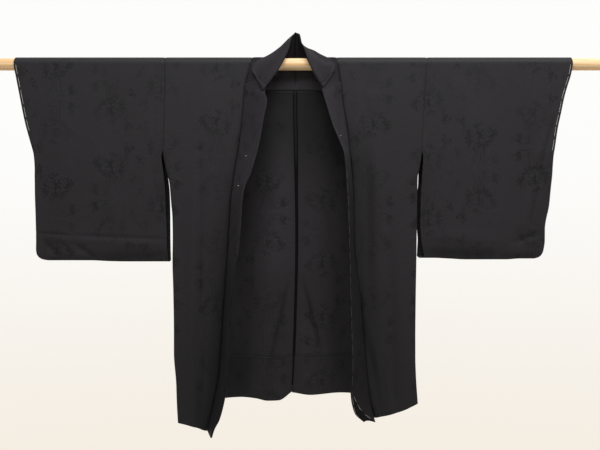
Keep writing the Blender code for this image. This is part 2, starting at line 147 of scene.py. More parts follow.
# the slight unevenness of hanging silk: how deep it is, and how long the broad and the fine
# streaks are that run down the cloth
sag = {"depth": 1.2, "broad": (70, 260), "fine": (24, 110), "fineShare": 0.35}


def softSag(x, drop, seed):
    broad = noise.noise(Vector((x / sag["broad"][0], drop / sag["broad"][1], seed)))
    fine = noise.noise(Vector((x / sag["fine"][0], drop / sag["fine"][1], seed + 7)))
    return sag["depth"] * (broad + sag["fineShare"] * fine)


def overRod(x, turn, dip=0.0):
    # middle of the cloth on the rod, turn quarter-circles from the top towards the front
    angle = turn * pi / 2
    radius = wrapRadius - min(dip, rodDip)
    return Vector((x, -radius * sin(angle), radius * cos(angle)))


def offRod(drop):
    # a seam sinks into the cloth only where the cloth has left the rod
    return ramp(drop, -6, 9)


def hanging(x, drop, face, sheet, folds, seed, dip=0.0):
    # a point of a sheet that hangs from the rod, flat at the top and looser further down
    loose = ramp(drop, 20, 80)
    depth = hang.at(drop, sheet) + loose * (folds.push(x, drop) + softSag(x, drop, seed))
    return Vector((x, -face * (depth - dip * offRod(drop)), -drop))


def seamFalloff(away, depth=1.5, reach=2.6):
    # how far a sheet sinks beside a seam by the distance from it; also painted shade along a seam
    return depth * exp(-(away / reach) ** 2)


def bandRun(drop):
    # the run along the collar's sewn edge at a drop down the front
    return neckHalf + neckDrop + 2 * quarter + drop


# The body: the size of its mesh cells, the wall of the cloth, how long the back is before its
# hem is shaped, the share of the length below which that shape is felt, about how wide a half
# is, how much painted shade darkens the fronts towards the hem and the seed of the back's
# unevenness.
bodyLook = {"cell": 4.2, "cloth": 1.0, "nominalBack": 775.0, "shapedBelow": 0.45, "width": 175,
            "frontHemShade": 0.2, "backSeed": 40}
# painted shade inside the back: under the neck, along the neck seam and in the turned-up hem
insideShade = {"neck": 0.63, "litFrom": 110, "litAt": 330, "seam": 0.6, "seamDrop": 61,
              "seamReach": 5, "hem": 0.2, "hemFrom": 670, "hemAt": 690}
deepestCreaseShade = 0.6   # no crease's painted shade dims the cloth by more

leftSide = Chart("drop x",
    (0, 306), (45, 301), (95, 298), (160, 294), (200, 292.5), (231, 289), (247, 286), (261, 282.8),
    (298, 281.6), (371, 280.4), (445, 279.2), (552, 277.2), (645, 276.2), (690, 276.2),
    (740, 277.6), (820, 282))
rightSide = Chart("drop x",
    (0, -302), (120, -303), (200, -305), (218, -302.4), (247, -296.5), (278, -289), (326, -284.8),
    (355, -282.2), (406, -281.2), (452, -281.6), (530, -279.4), (610, -277.8), (669, -277.6),
    (740, -272.4), (790, -270.6), (845, -267.5))
leftSeam = Chart("drop x",
    (-24, 92), (0, 97), (23, 101), (67, 105), (109, 110), (155, 118), (210, 123), (254, 129),
    (431, 133), (527, 145), (662, 157), (722, 162), (777, 170), (813, 181))
rightSeam = Chart("drop x",
    (-24, -96), (0, -102), (23, -107), (45, -112), (76, -115), (134, -119), (196, -127),
    (275, -139), (325, -145), (431, -150), (557, -159), (708, -169), (768, -180), (836, -197))
centre = Chart("drop x", (0, 0), (60, 0), (200, 2), (400, 4), (600, 0), (775, -7))

# the hems, as drops across a panel: 0 at the side seam, 1 at the inner edge
leftFrontHem = Chart("across drop", (0, 783), (0.35, 799), (0.7, 810), (1, 816))
rightFrontHem = Chart("across drop",
    (0, 827), (0.4, 834), (0.62, 838), (0.82, 843.5), (0.94, 845), (1, 837))
leftBackHem = Chart("across drop", (0, 779), (0.4, 771), (0.6, 767.5), (0.85, 773), (1, 767))
rightBackHem = Chart("across drop",
    (0, 795), (0.35, 782), (0.55, 778), (0.68, 781.5), (0.78, 787), (0.88, 786), (1, 765))

# the shadow that lies beside the collar: how dark it is, how far it reaches and how deep the
# sheet sinks there
leftShadow = Chart("drop dark reach depth",
    (-24, 0, 4, 0), (0, 0.2, 4, 0), (60, 0.5, 5, 1.5), (120, 0.5, 7, 2.5), (200, 0.4, 26, 2.5),
    (330, 0.32, 38, 3), (500, 0.3, 34, 3), (700, 0.38, 28, 4), (813, 0.42, 22, 4))
rightShadow = Chart("drop dark reach depth",
    (-24, 0, 4, 0), (0, 0.2, 4, 0), (60, 0.45, 5, 1.5), (140, 0.5, 7, 3), (240, 0.55, 9, 4),
    (340, 0.6, 11, 4), (480, 0.62, 17, 4.5), (640, 0.62, 24, 5), (836, 0.64, 30, 5))

leftFrontFolds = Folds(
    (158, 180, 170, 560, 14, -3.5), (182, 90, 198, 640, 16, 3.0), (238, 300, 250, 830, 18, 2.5),
    (216, 420, 226, 860, 12, -2.5), (158, 600, 202, 840, 8, -2.4), (176, 620, 232, 850, 9, 2.2),
    (146, 330, 156, 700, 6, -1.6))
rightFrontFolds = Folds(
    (-219, 200, -221, 620, 6, -2.4), (-232, 240, -236, 640, 12, 2.6),
    (-262, 330, -252, 860, 13, -2.8), (-184, 260, -206, 700, 12, 2.4),
    (-190, 420, -222, 860, 8, -2.2), (-238, 560, -232, 880, 9, 2.0))
leftBackFolds = Folds(
    (20, 500, 43, 594, 4, 3.2), (39, 578, 64, 686, 4, 3.4), (16, 560, 36, 760, 13, -3.0),
    (60, 560, 90, 740, 15, -2.0), (110, 430, 122, 720, 24, 4.0), (226, 280, 214, 700, 24, 3.5),
    (70, 90, 62, 440, 26, -3.0), (128, 120, 140, 400, 18, 2.5))
rightBackFolds = Folds(
    (-14, 500, -38, 604, 4, 3.0), (-34, 584, -70, 740, 4.5, 3.4), (-14, 560, -36, 760, 13, -3.0),
    (-58, 560, -92, 750, 15, -2.0), (-150, 240, -120, 700, 26, 4.0),
    (-236, 300, -230, 720, 24, 3.5), (-64, 90, -70, 440, 26, -3.0),
    (-124, 120, -136, 420, 18, 2.5))

# the sharpest creases, which hold a line of shadow: the last column is how dark
frontCreases = Folds(
    (-216, 400, -216, 600, 3.5, 0.25), (-210, 670, -212, 740, 3, 0.22),
    (200, 690, 214, 780, 4, 0.22), (226, 740, 236, 774, 3, 0.2), (176, 250, 180, 400, 6, 0.15))
backCreases = Folds(
    (24, 518, 63, 672, 2.6, 0.6), (-18, 518, -56, 676, 2.8, 0.5), (-54, 664, -68, 728, 3.2, 0.4))

# the soft swells inside the back that catch light, and the hollow that lies in shadow
backLight = Folds(
    (-26, 130, -26, 340, 26, 0.34), (-44, 290, -46, 510, 42, 0.4), (28, 150, 32, 330, 24, 0.1),
    (38, 300, 44, 510, 44, 0.34), (40, 555, 44, 800, 36, 0.36), (-40, 660, -40, 800, 26, 0.18),
    (-122, 600, -122, 790, 18, -0.34))


class Body:
    # One half of the body: a front and a back cut in one over the shoulder.
    def __init__(self, hand, side, seam, frontHem, backHem, frontFolds, backFolds, shadow):
        self.hand = hand
        self.shadow = shadow
        self.side = side
        self.seam = seam
        self.hems = {front: frontHem, back: backHem}
        self.folds = {front: frontFolds, back: backFolds}
        self.nominal = {front: seam.knots[-1], back: bodyLook["nominalBack"]}

    def dropAt(self, nominal, across, face):
        full = self.nominal[face]
        shapedBelow = bodyLook["shapedBelow"]
        ease = max((nominal - full * shapedBelow) / (full * (1 - shapedBelow)), 0.0) ** 3
        return nominal + ease * (self.hems[face].at(across, "drop") - full)

    def frontPoint(self, across, nominal):
        side = self.side.at(nominal, "x")
        x = side + (self.seam.at(nominal, "x") - side) * across
        drop = self.dropAt(nominal, across, front)
        away = x - self.seam.at(nominal, "x")
        dip = seamFalloff(x - side) + seamFalloff(away) + seamFalloff(away, self.crevice(nominal), 5)
        return hanging(x, drop, front, "bodyFront", self.folds[front], self.hand, dip)

    def crevice(self, nominal):
        return self.shadow.at(nominal, "depth")

    def frontShade(self, x, drop):
        # painted shade: darker towards the hem, beside the collar and along the sharpest creases
        away = abs(x - self.seam.at(drop, "x")) / self.shadow.at(drop, "reach")
        low = 1 - bodyLook["frontHemShade"] * ramp(drop, 430, 800)
        creased = min(frontCreases.push(x, drop), deepestCreaseShade)
        return low * (1 - self.shadow.at(drop, "dark") * exp(-away ** 1.5)) * (1 - creased)

    def backShade(self, x, drop):
        # painted shade inside the back: under the neck, along the neck seam, towards the hem and
        # in the creases, with painted light on its swells
        look = insideShade
        low = look["hem"] * ramp(drop, look["hemFrom"], look["hemAt"])
        seam = seamFalloff(drop - look["seamDrop"], look["seam"], look["seamReach"])
        creased = min(backCreases.push(x, drop), deepestCreaseShade) + seam
        neck = look["neck"] * (1 - ramp(drop, look["litFrom"], look["litAt"]))
        return (1 - neck + backLight.push(x, drop) - low) * (1 - creased)

    def backPoint(self, across, nominal):
        side = self.side.at(nominal, "x")
        x = side + (self.centreEdge(nominal) - side) * across
        drop = self.dropAt(nominal, across, back)
        return self.backSheet(x, drop, seamFalloff(x - side))

    def backSheet(self, x, drop, dip=0.0):
        # the two halves turn in towards the body along the seam down the back
        dip += seamFalloff(x - centre.at(drop, "x"))
        return hanging(x, drop, back, "bodyBack", self.folds[back], bodyLook["backSeed"], dip)

    def centreEdge(self, nominal):
        return centre.at(nominal, "x") + self.hand * seamGap / 2

    def neckShare(self, nominal):
        side = self.side.at(nominal, "x")
        return (self.hand * neckHalf - side) / (self.centreEdge(nominal) - side)

    def neckEdge(self, run):
        # the edge that the collar is sewn to, by the run from the centre back
        if run <= neckHalf:
            return self.backSheet(self.hand * run, neckDrop)
        rise = run - neckHalf
        if rise <= neckDrop:
            x = self.hand * (neckHalf + neckLean * rise / neckDrop)
            return self.backSheet(x, neckDrop - rise)
        wrapped = rise - neckDrop
        if wrapped <= 2 * quarter:
            turn = wrapped / quarter - 1
            start = self.hand * (neckHalf + neckLean)
            end = self.seam.at(0, "x")
            return overRod(start + (end - start) * (turn + 1) / 2, turn)
        return self.frontPoint(1.0, wrapped - 2 * quarter)


leftBody = Body(1, leftSide, leftSeam, leftFrontHem, leftBackHem, leftFrontFolds, leftBackFolds,
                leftShadow)
rightBody = Body(-1, rightSide, rightSeam, rightFrontHem, rightBackHem, rightFrontFolds,
                 rightBackFolds, rightShadow)


def bodyPatches(body):
    # Grids of (point, cloth place). The cloth place is across and along the loom, in metres.
    cell = bodyLook["cell"]
    shares = sharesWithEdges(bodyLook["width"], cell)

    def placed(row, run):
        shadeAt = body.frontShade if run > 0 else body.backShade
        return [(p, (p.x * mm, run * mm, shadeAt(p.x, -p.z))) for p in row]

    def rowTo(neck, drop, pointAt):
        # from the sleeve seam across to the neck edge
        side = body.side.at(drop, "x")
        row = []
        for share in shares:
            x = side + (neck.x - side) * share
            row.append(pointAt(x, seamFalloff(x - side) + seamFalloff(x - neck.x)))
        return row

    rows = []
    for nominal in reversed(stepsOf(0, body.nominal[front], cell)):
        row = [body.frontPoint(share, nominal) for share in shares]
        rows.append(placed(row, quarter + nominal))
    for turn in spread(1, -1, wrapSteps)[1:-1]:
        neck = body.neckEdge(neckHalf + neckDrop + (turn + 1) * quarter)
        row = rowTo(neck, 0, lambda x, dip: overRod(x, turn, dip))
        rows.append(placed(row, turn * quarter))
    for drop in stepsOf(0, neckDrop, cell):
        neck = body.neckEdge(neckHalf + neckDrop - drop)
        row = rowTo(neck, drop, lambda x, dip: body.backSheet(x, drop, dip))
        rows.append(placed(row, -quarter - drop))
    # below the neck the back runs on to the centre seam, as a second grid beside the first
    outerBack, innerBack = [], []
    for nominal in stepsOf(neckDrop, body.nominal[back], cell):
        corner = body.neckShare(nominal)
        outer = [body.backPoint(share * corner, nominal) for share in shares]
        inner = [body.backPoint(share, nominal) for share in spread(corner, 1.0, 32)]
        outerBack.append(placed(outer, -quarter - nominal))
        innerBack.append(placed(inner, -quarter - nominal))
    return [rows + outerBack[1:], innerBack] + [turnUp(body, face) for face in (front, back)]


def turnUp(body, face):
    # The hem turned up inside: a layer that lies against the panel, from the fold to its edge.
    # clear is how far it stays above the fold, and turned where its pattern goes on, in metres.
    look = {"rise": 96.0, "gap": 1.5, "pressed": 0.55, "pressedFrom": 80, "edgeShade": 0.65,
            "inset": 0.006, "clear": 0.7, "turned": 0.3}
    bottom = body.nominal[face]
    pointAt = body.frontPoint if face == front else body.backPoint
    rows = []
    for rise in [0, 0.6, 2, 5] + stepsOf(10, look["rise"], 3):
        lift = look["gap"] * ramp(rise, -1, 2)
        lift -= look["pressed"] * ramp(rise, look["pressedFrom"], look["rise"])
        # painted shade along the layer's top edge; inside the back it takes the back's painted
        # shade too
        light = 1 - look["edgeShade"] * ramp(rise, look["rise"] - 6, look["rise"] - 1)
        row = []
        for share in spread(0.0, 1.0, 40):
            point = pointAt(look["inset"] + share * (1 - 2 * look["inset"]), bottom - rise)
            point.y += face * lift
            if rise < 1:
                point.z += look["clear"] - rise
            shade = light * (body.backShade(point.x, -point.z) if face == back else 1)
            row.append((point, (point.x * mm, -point.z * mm + look["turned"], shade)))
        rows.append(row)
    return rows


# The gusset: where it starts, how far it bows in between front and back, and how far its edges
# stay inside them.
gussetLook = {"cloth": 0.9, "top": 208.0, "bow": 11.0, "inset": 1.95, "halfWall": 0.6,
              "width": 0.05}


def gussetPatch(body):
    rows = []
    top = gussetLook["top"]
    inset = Vector((0, gussetLook["inset"], 0))
    for share in spread(0.0, 1.0, 110):
        frontDrop = top + (body.nominal[front] - top) * share
        backDrop = top + (body.nominal[back] - top) * share
        start = body.frontPoint(0.0, frontDrop) + inset
        end = body.backPoint(0.0, backDrop) - inset
        bow = gussetLook["bow"] * backDrop / body.nominal[back]
        row = []
        for part in spread(0.0, 1.0, 10):
            inward = gussetLook["halfWall"] + bow * sin(part * pi)
            point = start.lerp(end, part) - Vector((body.hand * inward, 0, 0))
            row.append((point, (part * gussetLook["width"], frontDrop * mm)))
        rows.append(row)
    return rows


# The sleeves: sewn to the body down to sewnTo, where they lap it, and open at the cuff down to
# cuffOpening. The edge of the seam allowance shows as a faint line this far from the seam.
sleeveLook = {"cell": 4.6, "cloth": 1.0, "cuffOpening": 209.0, "width": 300, "lap": 1.0,
              "sewnTo": 208, "allowance": 8.0, "allowanceDepth": 0.8, "allowanceReach": 1.6,
              "endSwell": 5.0, "topLight": 0.97, "moreLight": 0.08}
leftSeed, rightSeed = 11, 23   # of the unevenness of each sleeve

leftSleeve = Chart("drop frontInner backInner outer",
    (-24, 308, 308, 639.5), (0, 306.4, 306.4, 640.5), (26, 303.6, 303.6, 636.4),
    (50, 301.5, 301.5, 629), (76, 299.8, 299.8, 621.5), (111, 297.6, 297.6, 614),
    (148, 295.4, 295.4, 606), (200, 293, 293, 598), (216, 295.5, 292.8, 595),
    (244, 294, 289.8, 592.3), (260, 293.2, 289.2, 590.6), (280, 292, 288.4, 588.5),
    (296, 291, 286.2, 587), (328, 290, 284.2, 584), (366, 289.3, 282.8, 576.5),
    (382, 290, 284.8, 575), (408, 292, 286.6, 575), (431, 296, 285.2, 572), (440, 298, 284.6, 568),
    (444, 299, 284.3, 563), (446, 299, 284.2, 556))
rightSleeve = Chart("drop frontInner backInner outer",
    (-24, -302, -302, -647), (0, -302.3, -302.3, -648.6), (33, -302.6, -302.6, -643),
    (76, -303, -303, -634.7), (134, -304, -304, -623), (175, -305, -305, -612),
    (200, -305.5, -305.5, -604.5), (216, -308, -306, -600.8), (246, -304.5, -300.7, -598.2),
    (276, -301.8, -295.9, -597.6), (300, -300, -293.6, -597.5), (346, -298.3, -292, -596.5),
    (406, -296.6, -291.1, -596), (431, -296, -290.5, -596.5), (441, -295.2, -289.8, -595.5),
    (447, -294.6, -289.6, -592.5), (451, -294, -289.4, -587.5), (453, -293.5, -289.2, -581),
    (454, -293.5, -289.2, -574))
# how much higher the bottom of each sleeve hangs, across from the body to the cuff
leftRise = Chart("across rise",
    (0, 1.5), (0.12, 1.5), (0.25, 0), (0.4, -2), (0.75, -2), (0.88, 0), (1, 0))
rightRise = Chart("across rise", (0, 1.2), (0.35, 1.2), (0.5, 2), (0.65, 3.8), (1, 3.8))
leftSleeveFolds = Folds(
    (588, 140, 540, 378, 18, 2.6), (556, 118, 512, 378, 24, -2.5), (420, 60, 438, 350, 34, 2.0),
    (597, 124, 571, 220, 5, -2.2), (573, 210, 564, 270, 5, -2.6), (567, 255, 540, 384, 5, -2.4),
    (534, 244, 603, 240, 3, -0.9), (508, 412, 566, 390, 5, -2.6), (290, 398, 480, 412, 10, 2.0),
    (290, 440, 486, 446, 12, -5.0), (478, 449, 570, 444, 8, -3.0))
rightSleeveFolds = Folds(
    (-604, 390, -523, 396, 3.4, -1.7), (-536, 395, -290, 406, 4, -1.6),
    (-600, 403, -290, 420, 10, 2.4), (-582, 403, -547, 448, 6, -3.0),
    (-508, 418, -460, 448, 6, -3.0), (-476, 452, -290, 447, 12, -5.0),
    (-580, 455, -470, 454, 8, -3.0), (-570, 40, -520, 330, 30, 2.0),
    (-430, 60, -400, 350, 34, -2.0), (-604, 150, -596, 380, 9, 1.2))
# painted shade along the sleeves' creases and curled bottoms, and one broad painted light on the
# left sleeve: the last column is how dark
leftSleeveCreaseShade = Folds(
    (597, 124, 571, 220, 3.2, 0.26), (573, 210, 564, 270, 3.6, 0.32),
    (567, 255, 540, 384, 3.2, 0.22), (534, 244, 603, 240, 1.6, 0.2),
    (508, 412, 566, 390, 3.5, 0.36), (598, 300, 590, 470, 6, 0.45), (290, 441, 486, 447, 9, 0.55),
    (478, 449, 575, 446, 5, 0.35), (430, 170, 430, 430, 100, -0.1))
rightSleeveCreaseShade = Folds(
    (-604, 390, -523, 396, 1.8, 0.3), (-536, 395, -290, 406, 2.2, 0.2),
    (-582, 403, -547, 448, 4.5, 0.34), (-508, 418, -460, 448, 4.5, 0.34),
    (-480, 453, -290, 447, 8, 0.55), (-585, 456, -470, 455, 4.5, 0.4))


def sleevePatches(outline, rise, folds, creases, seed):
    # A flat tube over the rod, closed below the cuff opening on its outer edge.
    look = sleeveLook
    shares = sharesWithEdges(look["width"], look["cell"])
    bottom = outline.knots[-1]
    hand = 1 if outline.at(0, "outer") > 0 else -1
    # the rows lie closer together towards the bottom edge
    drops = stepsOf(0, bottom - 70, look["cell"])
    drops += stepsOf(bottom - 70, bottom - 12, 2.6)[1:] + stepsOf(bottom - 12, bottom, 1)[1:]
    swellDepth = min(hang.at(bottom, "sleeve"), look["endSwell"])
    down = Vector((0, 0, -1))

    def sewnIn(inner, drop):
        # laps the sleeve just under the body as far down as they are sewn together
        return inner - hand * look["lap"] * (1 - ramp(drop, look["sewnTo"] - 18, look["sewnTo"]))

    def point(share, drop, face):
        inner = sewnIn(outline.at(drop, "frontInner" if face == front else "backInner"), drop)
        x = inner + (outline.at(drop, "outer") - inner) * share
        away = abs(x - inner)
        dip = seamFalloff(away) * (1 - ramp(drop, 195, 215))
        line = seamFalloff(away - look["allowance"], look["allowanceDepth"], look["allowanceReach"])
        dip += line * (1 - ramp(drop, 150, 200))
        lower = drop - rise.at(share, "rise") * ramp(drop, bottom - 50, bottom)
        return hanging(x, lower, face, "sleeve", folds, seed, dip)

    def closedEnd(frontPoint, backPoint, outward, swell=1.0):
        return [frontPoint.lerp(backPoint, (1 - cos(angle)) / 2)
                + outward * swell * swellDepth * sin(angle) for angle in spread(0, pi, 8)]

    def placed(row, run):
        places = []
        for p in row:
            # painted shade: a little darker at the top of the sleeve, lighter lower down, darker
            # in creases
            light = look["topLight"] + look["moreLight"] * ramp(-p.z, 40, 400)
            shade = light * (1 - min(creases.push(p.x, -p.z), deepestCreaseShade))
            places.append((p, (p.x * mm, run * mm, shade)))
        return places

    frontRows = [[point(share, drop, front) for share in shares] for drop in drops]
    backRows = [[point(share, drop, back) for share in shares] for drop in drops]
    ring = [placed(row, -quarter - drop) for row, drop in zip(backRows, drops)]
    ring.reverse()
    for turn in spread(-1, 1, wrapSteps)[1:-1]:
        inner = sewnIn(outline.at(0, "frontInner"), 0)
        outer = outline.at(-24 * cos(turn * pi / 2), "outer")
        row = []
        for share in shares:
            x = inner + (outer - inner) * share
            row.append(overRod(x, turn, seamFalloff(x - inner)))
        ring.append(placed(row, turn * quarter))
    ring += [placed(row, quarter + drop) for row, drop in zip(frontRows, drops)]
    ends = [closedEnd(a, b, down) for a, b in zip(frontRows[-1], backRows[-1])]
    for i, row in enumerate(list(zip(*ends))[1:], 1):
        ring.append(placed(row, quarter + bottom + 2 * i))
    wall = []
    opened = look["cuffOpening"]
    for drop, frontRow, backRow in zip(drops, frontRows, backRows):
        if drop < opened:
            continue
        slope = (outline.at(drop + 2, "outer") - outline.at(drop - 2, "outer")) / 4
        outward = down if drop == bottom else Vector((hand, 0, hand * slope)).normalized()
        swell = ramp(drop, opened - 20, opened + 60)
        closed = closedEnd(frontRow[-1], backRow[-1], outward, swell)
        wall.append([(p, (p.x * mm + 0.002 * i, (quarter + drop) * mm))
                     for i, p in enumerate(closed)])
    return [ring, wall]


# The turned-over collar round the neck. run is measured along its sewn edge from the centre
# back. The roll is where it turns over and the edge is its free edge. bowBack and bowUp
# swell the inner half over the rod, and puff swells the turned-over half.
kiteColumns = "run rollX rollY rollZ edgeX edgeY edgeZ bowBack bowUp puff"
rightKite = Chart(kiteColumns,
    (0, 0, 18, 76.5, 0, 18, 78, 0, 0, 0), (12, -3, 12, 73, -5, 17, 73.4, 0, 0, 0),
    (28, -8.3, 4, 61.4, -16.6, 13, 62.2, 3, 0, -1), (60, -13.2, -9, 37.4, -35, 1, 41, 14, 8, -2),
    (84, -19.5, -17, 18.7, -49, -5, 28.2, 14, 26, -3),
    (104, -26.3, -23, 4.0, -65, -12, 16.5, 8, 40, -3),
    (134, -38.6, -30, -19.5, -86, -19, 4.5, 5, 36, -3),
    (168, -55.4, -35, -44, -99.8, -24, -15.5, 7, 16, -2),
    (200, -70.4, -39, -66.4, -88.5, -28, -37.5, 6, 8, 0))
leftKite = Chart(kiteColumns,
    (0, 0, 18, 76.5, 0, 18, 78, 0, 0, 0), (12, 8.5, 13, 75.2, 10, 17, 75, 0, 0, 0),
    (28, 13.5, 5, 55.3, 16.3, 14, 51.9, 3, 0, 0), (60, 19.3, -7, 39.5, 29, 3, 39, 14, 10, -1),
    (84, 23.1, -15, 25.7, 44.2, -4, 31.5, 14, 24, -3),
    (104, 27.2, -22, 10.2, 58, -11, 21.8, 8, 38, -3),
    (134, 40.2, -29, -20.5, 80.8, -18, 8, 5, 36, -3),
    (168, 52.3, -35, -42, 92.5, -24, -11.4, 7, 16, -2),
    (196, 62.6, -39, -60.0, 82.4, -28, -33.8, 6, 8, 0))
# Creases in the turned-over part, by the run and the way across it towards its free edge. They
# also set its painted light: lighter on the ridges, darker in the hollows.
rightKiteCreases = Folds(
    (70, 53, 250, 53, 7, 2.4), (60, 24, 260, 30, 18, -1.5), (186, 6, 200, 40, 8, 1.0))
leftKiteCreases = Folds(
    (74, 16, 150, 38, 7, 2.6), (140, 36, 152, 52, 6, 2.0), (150, 53, 250, 53, 7, 1.8),
    (120, 14, 250, 24, 14, -1.5))
# The band down each front: where the roll stands, how much lower it hangs than the seam, and
# how wide the fold gapes.
bandColumns = "drop rollX rollY sag gape tip"
# how much light reaches the band, by the drop
rightBandLight = Chart("drop light",
    (0, 0.9), (60, 1.0), (140, 1.12), (220, 1.25), (290, 1.25), (350, 1.05), (430, 0.98),
    (490, 0.62), (560, 0.52), (836, 0.46))
leftBandLight = Chart("drop light",
    (0, 0.9), (60, 1.0), (120, 1.2), (190, 1.3), (250, 0.95), (330, 0.66), (470, 0.54),
    (640, 0.56), (749, 0.62), (810, 0.7))
rightBand = Chart(bandColumns,
    (42, -68, -42, 34, 1.3, 6), (62, -63, -49, 31, 1.3, 6), (105, -70, -54, 26, 1.3, 6),
    (170, -79, -62, 16, 1.3, 6), (245, -97, -71, 8, 1.3, 5), (300, -115, -77, 4, 1.3, 4),
    (418, -124, -80, 0, 1.3, 0), (505, -138, -83, 0, 1.3, 0), (580, -143, -84, 0, 1.5, 0),
    (667, -145, -85, 0, 2.0, 0), (718, -150, -84, 1, 2.5, 1), (765, -159, -76, 5, 3.0, 3),
    (802, -170, -68, 9, 3.0, 5), (826, -182.5, -63, 9, 2.5, 5), (836, -186.5, -61, 14, 2.0, 8))
leftBand = Chart(bandColumns,
    (40, 62, -43, 28, 1.3, 6), (60, 66, -53, 24, 1.3, 6), (95, 74, -63, 18, 1.3, 6),
    (140, 85, -71, 10, 1.3, 6), (180, 99, -77, 5, 1.3, 5), (217, 111, -80, 1, 1.3, 1),
    (300, 117, -82, 0, 1.3, 0), (429, 121, -84, 0, 1.3, 0), (522, 123, -86, 0, 1.3, 0),
    (608, 125, -86, 0, 2.0, 0), (680, 127, -84, 0, 2.5, 0), (735, 125, -78, 2, 3.0, 0),
    (765, 127.5, -73, 4, 3.5, 2), (790, 135.5, -67, 4, 4.0, 6), (813, 151, -61, -4, 4.5, 9))
# Where the outer layer of the left band parts from the inner one at the bottom, drawn as painted
# shade and a basting line, not in the cloth's shape: how far across it the opening reaches, by the
# drop.
leftParting = Chart("drop share", (745, 0.0), (770, 0.22), (792, 0.5), (813, 0.9))


# The collar: how far the band's outer layer stands off the seam and reaches over it, how wide the
# roll of the turned-over part gapes and how wide that part is, how many steps its two halves are
# built in, the tuck at its tip, how much looser than the body it passes over the rod, how far it
# stands off the back neckline, and the light on its ridges, inside it and under the parted layer.
collarBuild = {"lap": 1.89, "over": 3.0, "gape": 3.0, "turned": 56,
               "inner": 22, "outer": 20, "tuckRise": 9.0, "tuckGap": 1.7, "innerEase": 0.6,
               "outerEase": 2.2, "neckStandOff": 0.7, "turnedLight": 0.97, "ridgeLight": 0.13,
               "insideLight": 0.35, "frontLight": 1.15, "partedLight": 0.35}


def blend(a, b, c, share):
    # a point on the curve from a to c that bends towards b
    return a * (1 - share) ** 2 + b * 2 * share * (1 - share) + c * share ** 2


def clearOfRod(point, radius):
    # a point inside the rod's round is moved up and out of it
    reach = hypot(point.y, point.z)
    if reach >= radius:
        return point
    rise = point.z + 1.5 * (radius - reach)
    reach = hypot(point.y, rise)
    return Vector((point.x, point.y * radius / reach, rise * radius / reach))


def evenly(points, count):
    # the same line, with its points set the same distance apart
    marks = [0.0]
    for first, second in zip(points, points[1:]):
        marks.append(marks[-1] + (second - first).length)
    placed, i = [], 0
    for mark in spread(0.0, marks[-1], count):
        while i < len(points) - 2 and marks[i + 1] < mark:
            i += 1
        share = (mark - marks[i]) / max(marks[i + 1] - marks[i], 0.001)
        placed.append(points[i].lerp(points[i + 1], min(share, 1.0)))
    return placed


